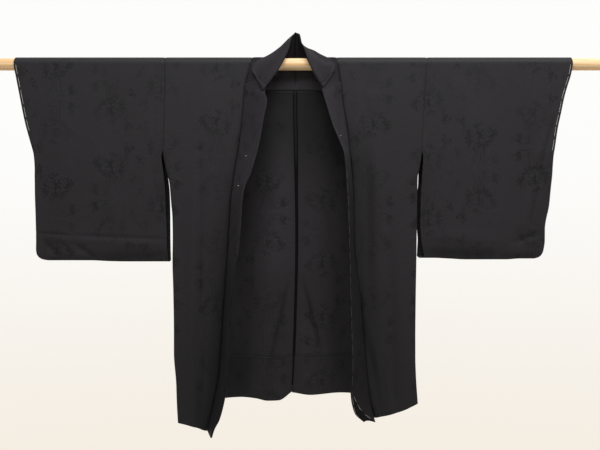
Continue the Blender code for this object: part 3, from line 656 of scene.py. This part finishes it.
class Collar:
    # One half of the collar, from the centre back to the front hem. Its strip is sewn on along
    # one edge, rolls over, and its free edge lies over the seam.
    def __init__(self, body, kite, band, creases, bandLight):
        self.body = body
        self.bandLight = bandLight
        self.kite = kite
        self.creases = creases
        rows = [row + (collarBuild["gape"],) for row in kite.rows]
        rows += [self.bandRow(row) for row in band.rows]
        self.chart = Chart(kiteColumns + " gape", *rows)

    def bandRow(self, row):
        drop, rollX, rollY, sag, gape, tip = row
        run = bandRun(drop)
        seam = self.body.neckEdge(run)
        lap = collarBuild["lap"] + self.body.crevice(drop)
        edge = seam + Vector((self.body.hand * collarBuild["over"], -lap, -tip))
        return (run, rollX, rollY, seam.z - sag, edge.x, edge.y, edge.z, 0, 0, 0, gape)

    def lightAt(self, run, across, height):
        # across is 0 at the roll and 1 at the free edge, and less than 0 on the inner half
        look = collarBuild
        drop = run - neckHalf - neckDrop - 2 * quarter
        if drop < 0:
            if across > 0:
                ridge = self.creases.push(run, across * look["turned"])
                return look["turnedLight"] + look["ridgeLight"] * ridge
            return look["insideLight"] + look["frontLight"] * (1 - ramp(height, -15, 15))
        light = self.bandLight.at(drop, "light")
        # painted shade on the outer layer where the band opens at the bottom
        if self.body is leftBody and 0 < across < leftParting.at(drop, "share"):
            light *= look["partedLight"]
        return light

    def vector(self, run, name):
        return Vector([self.chart.at(run, name + axis) for axis in ("X", "Y", "Z")])

    def sewnEdge(self, run):
        # sinks with the body's own edge beside the seam
        edge = self.body.neckEdge(run)
        if run <= neckHalf:
            edge.y += collarBuild["neckStandOff"] * ramp(neckHalf - run, 0, 6)
            edge.y -= seamFalloff(neckHalf - run)
        elif run < neckHalf + neckDrop:
            edge.y -= seamFalloff(0) * offRod(neckHalf + neckDrop - run)
        return edge

    def section(self, run, innerSteps, outerSteps):
        hand = self.body.hand
        sewn = self.sewnEdge(run)
        roll = self.vector(run, "roll")
        edge = self.vector(run, "edge")
        gape = self.chart.at(run, "gape")
        bow = Vector((0, self.chart.at(run, "bowBack"), self.chart.at(run, "bowUp")))
        if run == 0:
            for point in (sewn, roll, edge):
                point.x = hand * seamGap / 2
        innerBend = (sewn + roll) / 2 + bow
        toSewn = (innerBend - roll).normalized()
        toEdge = (edge - roll).normalized()
        spine = self.vector(min(run + 4, self.chart.knots[-1]), "roll") \
            - self.vector(max(run - 4, 0), "roll")
        outward = spine.cross(edge - roll).normalized() * hand
        beside = edge - sewn
        beside = (beside - toSewn * beside.dot(toSewn)).normalized()
        if beside.dot(outward) < 0:
            beside = -beside
        parting = beside * gape * (1 + toSewn.dot(toEdge)) / 2
        innerEnd = roll + toSewn * gape - parting
        outerStart = roll + toEdge * gape + parting
        inner, outer = [], []
        for share in spread(0.0, 1.0, innerSteps * 4):
            point = blend(sewn, innerBend, innerEnd, share)
            # eased in from the sewn edge, so that the seam stays closed
            ease = collarBuild["innerEase"] * min(share * 8, 1.0)
            point.y += seamFalloff(run) * min(share * 6, 1.0)
            inner.append(clearOfRod(point, wrapRadius + ease))
        swell = (outerStart + edge) / 2 + outward * self.chart.at(run, "puff")
        for share in spread(0.0, 1.0, outerSteps):
            point = blend(outerStart, swell, edge, share)
            crease = self.creases.push(run, share * collarBuild["turned"])
            point += outward * crease * min(share * 6, 1.0)
            outer.append(clearOfRod(point, wrapRadius + collarBuild["outerEase"]))
        return evenly(inner, innerSteps) + [roll] + outer


leftCollar = Collar(leftBody, leftKite, leftBand, leftKiteCreases, leftBandLight)
rightCollar = Collar(rightBody, rightKite, rightBand, rightKiteCreases, rightBandLight)


def collarPatch(collar):
    # The turned-over part ends in a tuck: it folds back under itself before the band goes on.
    inner, outer = collarBuild["inner"], collarBuild["outer"]
    lastKite = collar.kite.knots[-1]
    firstBand = [knot for knot in collar.chart.knots if knot > lastKite][0]
    sections = [(run, collar.section(run, inner, outer)) for run in stepsOf(0, lastKite, 3.0)]
    last = sections[-1][1]
    above = collar.section(lastKite - collarBuild["tuckRise"], inner, outer)
    behind = (last[inner + 8] - last[inner + 2]).cross(last[inner + 8] - above[inner + 8])
    behind.normalize()
    if behind.y < 0:
        behind = -behind
    # how far up the tuck goes and how many gaps behind the collar it lies, step by step
    for rise, layer in ((-0.06, 0.25), (0.0, 0.75), (0.3, 1.0), (0.8, 1.1), (1.0, 1.5), (0.7, 2.0),
                        (0.0, 2.2)):
        row = []
        for i, (end, start) in enumerate(zip(last, above)):
            share = ramp(i, inner - 7, inner + 1)
            point = end.lerp(start, rise * share)
            row.append(point + behind * collarBuild["tuckGap"] * layer * share)
        sections.append((lastKite + layer, row))
    for run in stepsOf(firstBand, collar.chart.knots[-1], 5.0):
        sections.append((run, collar.section(run, inner, outer)))
    rows = []
    for run, section in sections:
        row = []
        width = 0.0
        for i, point in enumerate(section):
            width += (point - section[i - 1]).length if i else 0.0
            across = (i - inner - 2) / outer if i > inner else -1
            light = collar.lightAt(run, across + 0.01, point.z)
            row.append((point, (width * mm, run * mm, light)))
        rows.append(row)
    return rows


def placeObject(name, data):
    placed = bpy.data.objects.new(name, data)
    bpy.context.scene.collection.objects.link(placed)
    return placed


def placeMesh(name, mesh, material):
    mesh.materials.append(material)
    return placeObject(name, mesh)


def placeBuilt(name, built, material):
    # makes a smooth piece of what was built
    bmesh.ops.recalc_face_normals(built, faces=built.faces)
    mesh = bpy.data.meshes.new(name)
    built.to_mesh(mesh)
    built.free()
    mesh.shade_smooth()
    return placeMesh(name, mesh, material)


def makeSheet(name, patches, thickness, material, evenWall=True):
    # Joins grids of points into one sheet, gives it a wall and keeps its cloth places as UVs.
    # A third number in a place is how much light reaches the cloth there.
    sheet = bmesh.new()
    layer = sheet.loops.layers.uv.new("cloth")
    shade = sheet.verts.layers.float.new("shade")
    places = {}
    for patch in patches:
        grid = []
        for row in patch:
            verts = []
            for point, place in row:
                vert = sheet.verts.new(point * mm)
                places[vert] = place[:2]
                vert[shade] = place[2] if len(place) > 2 else 1.0
                verts.append(vert)
            grid.append(verts)
        for upper, lower in zip(grid, grid[1:]):
            for i in range(len(upper) - 1):
                face = sheet.faces.new((upper[i], upper[i + 1], lower[i + 1], lower[i]))
                for loop in face.loops:
                    loop[layer].uv = places[loop.vert]
    bmesh.ops.remove_doubles(sheet, verts=sheet.verts, dist=0.01 * mm)
    piece = placeBuilt(name, sheet, material)
    wall = piece.modifiers.new("wall", "SOLIDIFY")
    wall.thickness = thickness * mm
    wall.offset = 0.0
    wall.use_even_offset = evenWall
    wall.use_quality_normals = True
    return piece


def hexColour(text):
    # an sRGB hex value as linear red, green, blue and alpha
    parts = [int(text[i:i + 2], 16) / 255 for i in (1, 3, 5)]
    linear = [c / 12.92 if c <= 0.04045 else ((c + 0.055) / 1.055) ** 2.4 for c in parts]
    return (*linear, 1.0)


def feed(tree, node, inputs):
    # fills inputs, by name or in their order, with values or with what drives them
    for socket, value in inputs.items() if isinstance(inputs, dict) else enumerate(inputs):
        if isinstance(value, bpy.types.Node):
            value = value.outputs[0]
        if isinstance(value, bpy.types.NodeSocket):
            tree.links.new(value, node.inputs[socket])
        else:
            node.inputs[socket].default_value = value


def addNode(tree, kind, settings=None, inputs=()):
    # one node, with its settings, or only its operation, and what goes into it
    node = tree.nodes.new("ShaderNode" + kind)
    if isinstance(settings, str):
        settings = {"operation": settings}
    for name, value in (settings or {}).items():
        setattr(node, name, value)
    feed(tree, node, inputs)
    return node


def newMaterial(name):
    material = bpy.data.materials.new(name)
    material.use_nodes = True
    return material, material.node_tree, material.node_tree.nodes["Principled BSDF"]


def perMetre(size):
    # the scale of a pattern whose marks lie size millimetres apart
    return 1 / (size * mm)


flatNoise = {"noise_dimensions": "2D"}
smoothStep = {"interpolation_type": "SMOOTHSTEP"}
colourMix = {"data_type": "RGBA"}


# The woven figure, in millimetres: how wide and tall its repeat is, how much lower each column
# starts than the last, how far apart the curls of a flower head and the blades of grass lie, how
# wide the patches are in which it shows more or less, and how much it shows in the faintest.
figure = {"wide": 122.0, "tall": 138.0, "step": 49.0, "curl": 10.87, "blade": 5.263,
          "bladeLong": 62.5, "patch": 111.1, "faintest": 0.45}


def fan(x, y, size, turn, count, opening):
    # petals spread round one point, the first and last opening degrees apart
    rows = []
    for angle in spread(turn - opening / 2, turn + opening / 2, count - 1):
        lean = angle * pi / 180
        rows.append((x + size * 0.62 * cos(lean), y + size * 0.62 * sin(lean), size * 0.4,
                     size * 0.15, angle))
    return rows


def stem(x, y, length, turn, bend, width):
    # a curved stem as a chain of thin strokes
    rows = []
    strokes = 5
    for i in range(strokes):
        angle = (turn + bend * (i / (strokes - 1) - 0.5)) * pi / 180
        step = length / strokes
        x += step / 2 * cos(angle)
        y += step / 2 * sin(angle)
        rows.append((x, y, step * 0.62, width, angle * 180 / pi))
        x += step / 2 * cos(angle)
        y += step / 2 * sin(angle)
    return rows


# The spray of the woven figure: strokes as centre, half length, half width and turn.
strokeRows = (
    fan(56, 78, 17, 100, 5, 170) + fan(82, 70, 16, 10, 4, 130) + fan(36, 58, 14, 200, 4, 140)
    + fan(64, 44, 13, -60, 3, 100) + stem(74, 92, 44, 78, -30, 0.8)
    + stem(52, 96, 40, 100, 26, 0.8) + stem(12, 116, 50, 16, -52, 0.9)
    + fan(26, 116, 12, -72, 3, 76) + fan(104, 22, 12, 160, 4, 160)
    + stem(100, 26, 36, 110, 40, 0.8) + fan(108, 104, 11, 30, 3, 130))
# Where small curling strokes crowd together into a flower head: centre, half sizes and turn.
crowdRows = ((58, 70, 27, 20, 20), (80, 82, 16, 12, 60), (36, 54, 15, 11, -20),
             (76, 52, 13, 15, 10), (32, 122, 17, 8, 8), (112, 98, 12, 9, 0), (106, 26, 11, 10, 0))
# where grasses fall below a flower head
grassRows = ((60, 108, 22, 26, 0), (96, 50, 11, 18, 0))


def streaks(tree, place, sizes, detail, settings=flatNoise):
    # noise whose marks are these sizes, in millimetres, along each axis
    scale = [perMetre(size) for size in sizes] + [1]
    fit = addNode(tree, "Mapping", inputs={"Vector": place, "Scale": scale[:3]})
    return addNode(tree, "TexNoise", settings, {"Vector": fit, "Scale": 1.0, "Detail": detail})


def nearestOf(tree, place, rows):
    # the least distance from a set of ellipses, 1 on their edges
    nearest = None
    for x, y, length, width, turn in rows:
        fit = addNode(tree, "Mapping", {"vector_type": "TEXTURE"},
                      {"Vector": place, "Location": (x * mm, y * mm, 0),
                       "Rotation": (0, 0, turn * pi / 180),
                       "Scale": (length * mm, width * mm, 1)})
        reach = addNode(tree, "VectorMath", "LENGTH", (fit,)).outputs["Value"]
        if nearest is None:
            nearest = reach
        else:
            nearest = addNode(tree, "Math", "MINIMUM", (nearest, reach))
    return nearest


def fade(tree, value, full, none, top=1.0):
    # top where the value is below full, and nothing above none
    return addNode(tree, "MapRange", smoothStep, (value, full, none, top, 0.0))


def contour(tree, place, where, sizes, full, none):
    # thin wandering lines, shown where the mask allows them
    level = addNode(tree, "Math", "SUBTRACT", (streaks(tree, place, sizes, 0.5), 0.5))
    line = addNode(tree, "Math", "ABSOLUTE", (level,))
    return addNode(tree, "Math", "MULTIPLY", (where, fade(tree, line, full, none)))


def figureMask(tree, place):
    # 1 where a stroke of the figure is. Each column of sprays starts a step lower than the last,
    # and each spray is the mirror image of the ones beside it.
    wide, tall = figure["wide"] * mm, figure["tall"] * mm
    axes = addNode(tree, "SeparateXYZ", inputs=(place,))
    column = addNode(tree, "Math", "DIVIDE", (axes, wide))
    number = addNode(tree, "Math", "FLOOR", (column,))
    down = addNode(tree, "Math", "MULTIPLY_ADD", (number, figure["step"] * mm, axes.outputs["Y"]))
    across = addNode(tree, "Math", "PINGPONG", (axes, wide))
    along = addNode(tree, "Math", "PINGPONG", (down, tall))
    local = addNode(tree, "CombineXYZ", inputs=(across, along))
    strokes = fade(tree, nearestOf(tree, local, strokeRows), 0.75, 1.3, 0.8)
    crowd = fade(tree, nearestOf(tree, local, crowdRows), 0.75, 1.2)
    curls = contour(tree, local, crowd, (figure["curl"], figure["curl"]), 0.028, 0.078)
    grass = fade(tree, nearestOf(tree, local, grassRows), 0.5, 1.2, 0.8)
    blade = (figure["blade"], figure["bladeLong"])
    blades = contour(tree, local, grass, blade, 0.025, 0.07)
    heads = addNode(tree, "Math", "MAXIMUM", (strokes, curls))
    figured = addNode(tree, "Math", "MAXIMUM", (heads, blades))
    # it catches the light here and there, so that some sprays show more than others
    patchy = addNode(tree, "TexNoise", flatNoise,
                     {"Vector": place, "Scale": perMetre(figure["patch"]), "Detail": 1.0})
    shows = addNode(tree, "MapRange", inputs=(patchy, 0.36, 0.58, figure["faintest"], 1.0))
    return addNode(tree, "Math", "MULTIPLY", (figured, shows))


# The ground, in millimetres: how far apart its threads lie and how long their slubs are, both
# drawn six times coarser to show. The bars are where the weft was beaten in unevenly, and stray is
# how far the hand of the weaver moves the figure, and over what length. uneven and barUneven are
# how much the ground's tone varies, relief is how deep its threads are, smoother how much less
# rough the figure is, and through how much of the shade shows on the side that faces back.
crepe = {"thread": 0.1852, "slub": 0.641, "coarser": 6, "bar": 5.263, "barLong": 18.18,
         "stray": 8.0, "strayOver": 11.11, "uneven": 0.14, "barUneven": 0.14, "relief": 0.3,
         "smoother": 0.12, "through": 0.25}


def silkMaterial(name, look):
    # Silk crepe woven with a figure: a matt black ground, uneven in its threads, on which the
    # figure lies a shade darker and smoother.
    material, tree, shader = newMaterial(name)
    place = addNode(tree, "UVMap", {"uv_map": "cloth"})
    stray = addNode(tree, "TexNoise", flatNoise,
                    {"Vector": place, "Scale": perMetre(crepe["strayOver"]), "Detail": 1.0})
    shift = addNode(tree, "VectorMath", "SUBTRACT", (stray.outputs["Color"], (0.5, 0.5, 0.5)))
    reach = crepe["stray"] * mm
    moved = addNode(tree, "VectorMath", "MULTIPLY_ADD", (shift, (reach, reach, 0.0), place))
    mask = figureMask(tree, moved)
    thread = [crepe[size] * crepe["coarser"] for size in ("thread", "slub")]
    slub = streaks(tree, place, thread, 2.0)
    uneven = addNode(tree, "MapRange",
                     inputs=(slub, 0, 1, 1 - crepe["uneven"], 1 + crepe["uneven"]))
    beaten = streaks(tree, place, (crepe["barLong"], crepe["bar"]), 3.0)
    barred = addNode(tree, "Math", "MULTIPLY_ADD",
                     (beaten, 2 * crepe["barUneven"], 1 - crepe["barUneven"]))
    weave = addNode(tree, "Math", "MULTIPLY", (uneven, barred))
    # the shade belongs to the side that faces forward, and is weak on the other
    shade = addNode(tree, "Attribute", {"attribute_name": "shade"}).outputs["Fac"]
    axes = addNode(tree, "SeparateXYZ", inputs=(addNode(tree, "NewGeometry").outputs["Normal"],))
    share = addNode(tree, "MapRange", inputs=(axes.outputs["Y"], 0.4, -0.1, crepe["through"], 1.0))
    lit = addNode(tree, "Mix", {"data_type": "FLOAT"}, {0: share, 2: 1.0, 3: shade})
    tone = addNode(tree, "Math", "MULTIPLY", (weave, lit))
    ground = addNode(tree, "Mix", colourMix,
                     {0: mask, 6: hexColour(look["ground"]), 7: hexColour(look["dark"])})
    woven = addNode(tree, "VectorMath", "SCALE", {0: ground.outputs[2], "Scale": tone})
    smooth = look["rough"] - crepe["smoother"]
    rough = addNode(tree, "MapRange", inputs=(mask, 0, 1, look["rough"], smooth))
    bump = addNode(tree, "Bump", inputs={"Height": slub, "Strength": 0.25,
                                         "Distance": crepe["relief"] * mm})
    feed(tree, shader, {"Base Color": woven, "Roughness": rough, "Normal": bump,
                        "Specular IOR Level": look["shine"], "Sheen Weight": look["sheen"],
                        "Sheen Roughness": 0.5})
    return material


silkLook = {"ground": "#262427", "dark": "#18171a", "rough": 0.62, "shine": 0.22, "sheen": 0.04}
silk = silkMaterial("figuredSilk", silkLook)
# the collar is pressed flat and dull, so it throws back less light; its colours are set a shade
# lighter than the body's silk, as painted light
collarLook = {"ground": "#2c2a2d", "dark": "#1d1c1e", "rough": 0.7, "shine": 0.08, "sheen": 0.01}
collarSilk = silkMaterial("pressedSilk", collarLook)


def addPiece(name, patches, thickness, material, node, evenWall=True):
    piece = makeSheet(name, patches, thickness, material, evenWall)
    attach(piece, "root")
    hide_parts(node)
    return piece


bodyLook["material"] = silk
sleeveLook["material"] = silk
collarLook.update({"cloth": 1.0, "material": collarSilk})
gussetLook["material"] = silk
sleeves = (sleevePatches(leftSleeve, leftRise, leftSleeveFolds, leftSleeveCreaseShade, leftSeed),
           sleevePatches(rightSleeve, rightRise, rightSleeveFolds, rightSleeveCreaseShade, rightSeed))
# name, grids, look, node, slot, and how wide and long it is cut and how much of that it fills
cloths = (
    ("bodyLeft", bodyPatches(leftBody), bodyLook, "body_left", "silk", (0.307, 1.828, 0.67)),
    ("bodyRight", bodyPatches(rightBody), bodyLook, "body_right", "silk", (0.303, 1.851, 0.67)),
    ("gussetLeft", [gussetPatch(leftBody)], gussetLook, "gusset_left", "silk",
     (0.05, 0.605, 0.71)),
    ("gussetRight", [gussetPatch(rightBody)], gussetLook, "gusset_right", "silk",
     (0.051, 0.628, 0.7)),
    ("sleeveLeft", sleeves[0], sleeveLook, "sleeve_left", "silk", (0.334, 0.955, 0.94)),
    ("sleeveRight", sleeves[1], sleeveLook, "sleeve_right", "silk", (0.345, 0.967, 0.93)),
    ("collarLeft", [collarPatch(leftCollar)], collarLook, "collar_left", "collar_silk",
     (0.134, 1.01, 0.9)),
    ("collarRight", [collarPatch(rightCollar)], collarLook, "collar_right", "collar_silk",
     (0.134, 1.03, 0.9)))
for name, patches, look, node, slot, (wide, long, filled) in cloths:
    piece = addPiece(name, patches, look["cloth"], look["material"], node,
                     look is not collarLook)
print("cloth made")

# the tape is coloured a shade darker than the body's silk as painted shade in the seam's groove;
# its middle is painted light at the top and painted shade lower down, its edges painted shade
tapeLook = {"cloth": 0.8, "lift": 0.6, "crown": 0.5, "end": 755, "edge": 0.6, "edgeLight": 0.25,
            "light": 0.9, "lightLost": 0.55, "ground": "#201f21", "dark": "#1d1c1e", "rough": 0.7,
            "shine": 0.06, "sheen": 0.0}
tapeWidth = Chart("drop width", (0, 9.5), (200, 9), (330, 6.5), (760, 5.5))


def tapePatch():
    # The covered seam allowance, laid over the seam inside the back. Its edges lie in shadow.
    rows = []
    for drop in stepsOf(neckDrop + 1, tapeLook["end"], 8):
        row = []
        half = tapeWidth.at(drop, "width") / 2
        middleLight = tapeLook["light"] - tapeLook["lightLost"] * ramp(drop, 200, 250)
        for share in spread(-1.0, 1.0, 12):
            point = leftBody.backPoint(1.0, drop)
            point.x += half * share
            point.y -= tapeLook["lift"] + tapeLook["crown"] * (1 - share ** 2)
            light = tapeLook["edgeLight"] if abs(share) > tapeLook["edge"] else middleLight
            row.append((point, (point.x * mm, drop * mm, light)))
        rows.append(row)
    return rows


tape = addPiece("centreBackTape", [tapePatch()], tapeLook["cloth"],
                silkMaterial("tapeSilk", tapeLook), "centre_back_tape")

rodLook = {"radius": 14.0, "length": 1500.0, "round": 1.5, "light": "#fddfb0", "dark": "#efc08a",
           "grainWide": 6.667, "grainLong": 200, "rough": 0.45, "shine": 0.4}


def rodMaterial():
    # Pine turned smooth and left unvarnished: pale, with fine brown grain lines along the rod and
    # a soft shine.
    material, tree, shader = newMaterial("turnedPine")
    place = addNode(tree, "TexCoord").outputs["Object"]
    sizes = [rodLook[size] for size in ("grainLong", "grainWide", "grainWide")]
    grain = streaks(tree, place, sizes, 3.0, None)
    level = addNode(tree, "MapRange", smoothStep, (grain, 0.35, 0.62))
    wood = addNode(tree, "Mix", colourMix,
                   {0: level, 6: hexColour(rodLook["dark"]), 7: hexColour(rodLook["light"])})
    feed(tree, shader, {"Base Color": wood.outputs[2], "Roughness": rodLook["rough"],
                        "Specular IOR Level": rodLook["shine"]})
    return material


def makeRod():
    rod = bmesh.new()
    half, full, rounded = rodLook["length"] / 2, rodLook["radius"], rodLook["round"]
    rings = [(-half, full - rounded), (-half + rounded * 0.3, full - rounded * 0.3),
             (-half + rounded, full)]
    rings += [(x, full) for x in spread(-700, 700, 14)]
    rings += [(-x, radius) for x, radius in reversed(rings[:3])]
    loops = []
    for x, radius in rings:
        loops.append([rod.verts.new((x * mm, radius * mm * sin(turn), radius * mm * cos(turn)))
                      for turn in spread(0, 2 * pi, 72)[:-1]])
    for near, far in zip(loops, loops[1:]):
        for i in range(len(near)):
            rod.faces.new((near[i - 1], near[i], far[i], far[i - 1]))
    rod.faces.new(loops[0])
    rod.faces.new(list(reversed(loops[-1])))
    piece = placeBuilt("displayRod", rod, rodMaterial())
    piece.data.set_sharp_from_angle(angle=0.7)
    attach(piece, "root")
    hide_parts("rod")


makeRod()
print("rod made")

# how thick the threads are and how wide their plies, their colours, how far inside the edge the
# cuffs are basted, and how much a stitch rises off the cloth and varies in length
threadLook = {"cuff": 0.38, "roll": 0.26, "tack": 0.45, "ply": 0.5, "cuffColour": "#cfccc6",
              "rollColour": "#5f5c58", "inset": 5.2, "lift": 0.2, "rise": 0.6, "vary": 0.4,
              "varyGap": 0.6, "tackHalf": 2.5, "tackLift": 0.9, "tackCrown": 0.4, "rough": 0.9,
              "shine": 0.2}
threadVerts, threadFaces = [], []
outFront = Vector((0, -1, 0))


def addStitch(points, radius=threadLook["tack"]):
    # one stitch as a thin six-sided tube through its points, closed at both ends
    sides = 6
    base = len(threadVerts)
    for i, point in enumerate(points):
        along = points[min(i + 1, len(points) - 1)] - points[max(i - 1, 0)]
        across = along.orthogonal().normalized()
        other = along.cross(across).normalized()
        thick = radius * (0.6 if i in (0, len(points) - 1) else 1.0)
        for turn in spread(0, 2 * pi, sides)[:-1]:
            threadVerts.append((point + (across * cos(turn) + other * sin(turn)) * thick) * mm)
    for i in range(len(points) - 1):
        for j in range(sides):
            k = (j + 1) % sides
            a, b = base + i * sides, base + (i + 1) * sides
            threadFaces.append((a + j, a + k, b + k, b + j))
    threadFaces.append(tuple(base + j for j in range(sides)))
    last = base + (len(points) - 1) * sides
    threadFaces.append(tuple(last + j for j in reversed(range(sides))))


def addRunning(path, start, end, stitch, gap, radius):
    # running stitches along a path, which gives a point for a distance, lifted clear of the cloth
    place = start
    vary = threadLook["vary"]
    while place < end:
        length = stitch * (1 - vary / 2 + vary * noise.noise(Vector((place, 0.5, 0.5))))
        points = []
        for share in spread(0.0, 1.0, 6):
            lift = threadLook["lift"] + threadLook["rise"] * sin(pi * share)
            points.append(path(place + length * share) + outFront * lift)
        addStitch(points, radius)
        uneven = noise.noise(Vector((0.5, place, 0.5)))
        place += length + gap * (1 + threadLook["varyGap"] * uneven)


def cuffPath(outline, folds, seed):
    def point(drop):
        x = outline.at(drop, "outer")
        x -= threadLook["inset"] if x > 0 else -threadLook["inset"]
        return hanging(x, drop, front, "sleeve", folds, seed, -0.5)
    return point


def outerPoint(collar, drop, steps, share):
    # a point of the collar's outer layer, by the share from the roll to the free edge
    innerSteps = 6
    return collar.section(bandRun(drop), innerSteps, steps)[innerSteps + 1 + round(steps * share)]


def rollPath(drop):
    # just beside the roll of the left band
    return outerPoint(leftCollar, drop, 6, 0).lerp(outerPoint(leftCollar, drop, 6, 1 / 6), 0.5)


def partingPath(drop):
    # down the edge of the outer layer where it parts from the inner one
    return outerPoint(leftCollar, drop, 40, leftParting.at(drop, "share"))


def cottonMaterial(name, colour):
    # Cotton spun and plied into basting thread: soft and matt, painted darker between its plies as
    # painted shade where its bump sinks.
    material, tree, shader = newMaterial(name)
    place = addNode(tree, "TexCoord").outputs["Object"]
    plies = addNode(tree, "TexNoise", inputs={
        "Vector": place, "Scale": perMetre(threadLook["ply"]), "Detail": 1.0})
    tone = addNode(tree, "MapRange", inputs=(plies, 0.35, 0.6, 0.78, 1.04))
    spun = addNode(tree, "VectorMath", "SCALE", {0: hexColour(colour)[:3], "Scale": tone})
    bump = addNode(tree, "Bump", inputs={"Height": plies, "Strength": 0.3, "Distance": 0.1 * mm})
    feed(tree, shader, {"Base Color": spun, "Normal": bump, "Roughness": threadLook["rough"],
                        "Specular IOR Level": threadLook["shine"]})
    return material


def threadPiece(name, colour):
    # makes the stitches gathered so far into one piece
    mesh = bpy.data.meshes.new(name)
    mesh.from_pydata(threadVerts, [], threadFaces)
    mesh.shade_smooth()
    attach(placeMesh(name, mesh, cottonMaterial(name + "Cotton", colour)), "root")
    threadVerts.clear()
    threadFaces.clear()


addRunning(cuffPath(leftSleeve, leftSleeveFolds, leftSeed), 3, 196, 32, 4, threadLook["cuff"])
addRunning(cuffPath(rightSleeve, rightSleeveFolds, rightSeed), 3, 150, 34, 5, threadLook["cuff"])
# short tack stitches on the bands, by the drop and the share across the band
tackHalf = threadLook["tackHalf"]
for collar, drop, share in ((rightCollar, 207, 0.55), (rightCollar, 279, 0.6),
                            (leftCollar, 166, 0.3)):
    spot = outerPoint(collar, drop, 12, share) + outFront * threadLook["tackLift"]
    addStitch([spot + Vector((x, threadLook["tackCrown"] * (abs(x) / tackHalf - 1), x * 0.5))
               for x in (-tackHalf, -1, 1, tackHalf)])
threadPiece("whiteBasting", threadLook["cuffColour"])
addRunning(rollPath, 252, 745, 32, 5, threadLook["roll"])
threadPiece("rollBasting", threadLook["rollColour"])
addRunning(partingPath, 748, 806, 22, 2, threadLook["cuff"] * 0.8)
addRunning(rollPath, 752, 800, 18, 3, threadLook["cuff"] * 0.6)
threadPiece("hemBasting", threadLook["cuffColour"])
print("threads made")

# the camera stands level before the jacket: where, and how wide a view it takes in there
view = {"distance": 1.7, "x": 0.0116, "height": -0.3735, "width": 1.3956, "sensor": 36.0}
cameraData = bpy.data.cameras.new("camera")
cameraData.sensor_width = view["sensor"]
cameraData.lens = view["sensor"] * view["distance"] / view["width"]
camera = placeObject("camera", cameraData)
camera.location = (view["x"], -view["distance"], view["height"])
camera.rotation_euler = (pi / 2, 0, 0)
bpy.context.scene.camera = camera
bpy.context.scene.view_settings.view_transform = "Standard"

# A pale wall all round, and the light that it throws back: dimmer from in front, behind the
# camera, than from behind the jacket.
room = {"top": "#fdfdfc", "low": "#f4ede2", "front": 0.34, "frontLow": 0.22, "strength": 1.0}
world = bpy.data.worlds.new("room")
world.use_nodes = True
tree = world.node_tree
axes = addNode(tree, "SeparateXYZ", inputs=(addNode(tree, "TexCoord").outputs["Generated"],))
height = addNode(tree, "MapRange", smoothStep, (axes.outputs["Z"], -0.34, 0.16))
wall = addNode(tree, "Mix", colourMix,
               {0: height, 6: hexColour(room["low"]), 7: hexColour(room["top"])})
dim = addNode(tree, "MapRange", smoothStep,
              (axes.outputs["Z"], -0.5, 0.3, room["frontLow"], room["front"]))
facing = addNode(tree, "MapRange", smoothStep, (axes.outputs["Y"], -0.5, 0.5, dim, 1.0))
lit = addNode(tree, "VectorMath", "SCALE", {0: wall.outputs[2], "Scale": facing})
feed(tree, tree.nodes["Background"], {"Color": lit, "Strength": room["strength"]})
bpy.context.scene.world = world

softbox = {"place": (0.3, -1.1, 1.3), "aim": (0, 0, -0.2), "wide": 2.8, "deep": 0.5, "watts": 44.0}
lamp = bpy.data.lights.new("softbox", "AREA")
lamp.shape = "RECTANGLE"
lamp.size, lamp.size_y = softbox["wide"], softbox["deep"]
lamp.energy = softbox["watts"]
holder = placeObject("softbox", lamp)
holder.location = softbox["place"]
toAim = Vector(softbox["aim"]) - Vector(softbox["place"])
holder.rotation_euler = toAim.to_track_quat("-Z", "Y").to_euler()

# a pale painted floor
floorLook = {"half": 3, "height": -1.9, "colour": "#e8e3da", "rough": 0.8}
half = floorLook["half"]
floorMesh = bpy.data.meshes.new("floor")
floorMesh.from_pydata([(-half, -half, 0), (half, -half, 0), (half, half, 0), (-half, half, 0)], [],
                      [(0, 1, 2, 3)])
floorPaint, tree, shader = newMaterial("paleFloor")
feed(tree, shader, {"Base Color": hexColour(floorLook["colour"]), "Roughness": floorLook["rough"]})
floorPlane = placeMesh("floor", floorMesh, floorPaint)
floorPlane.location.z = floorLook["height"]
print("light and floor made")
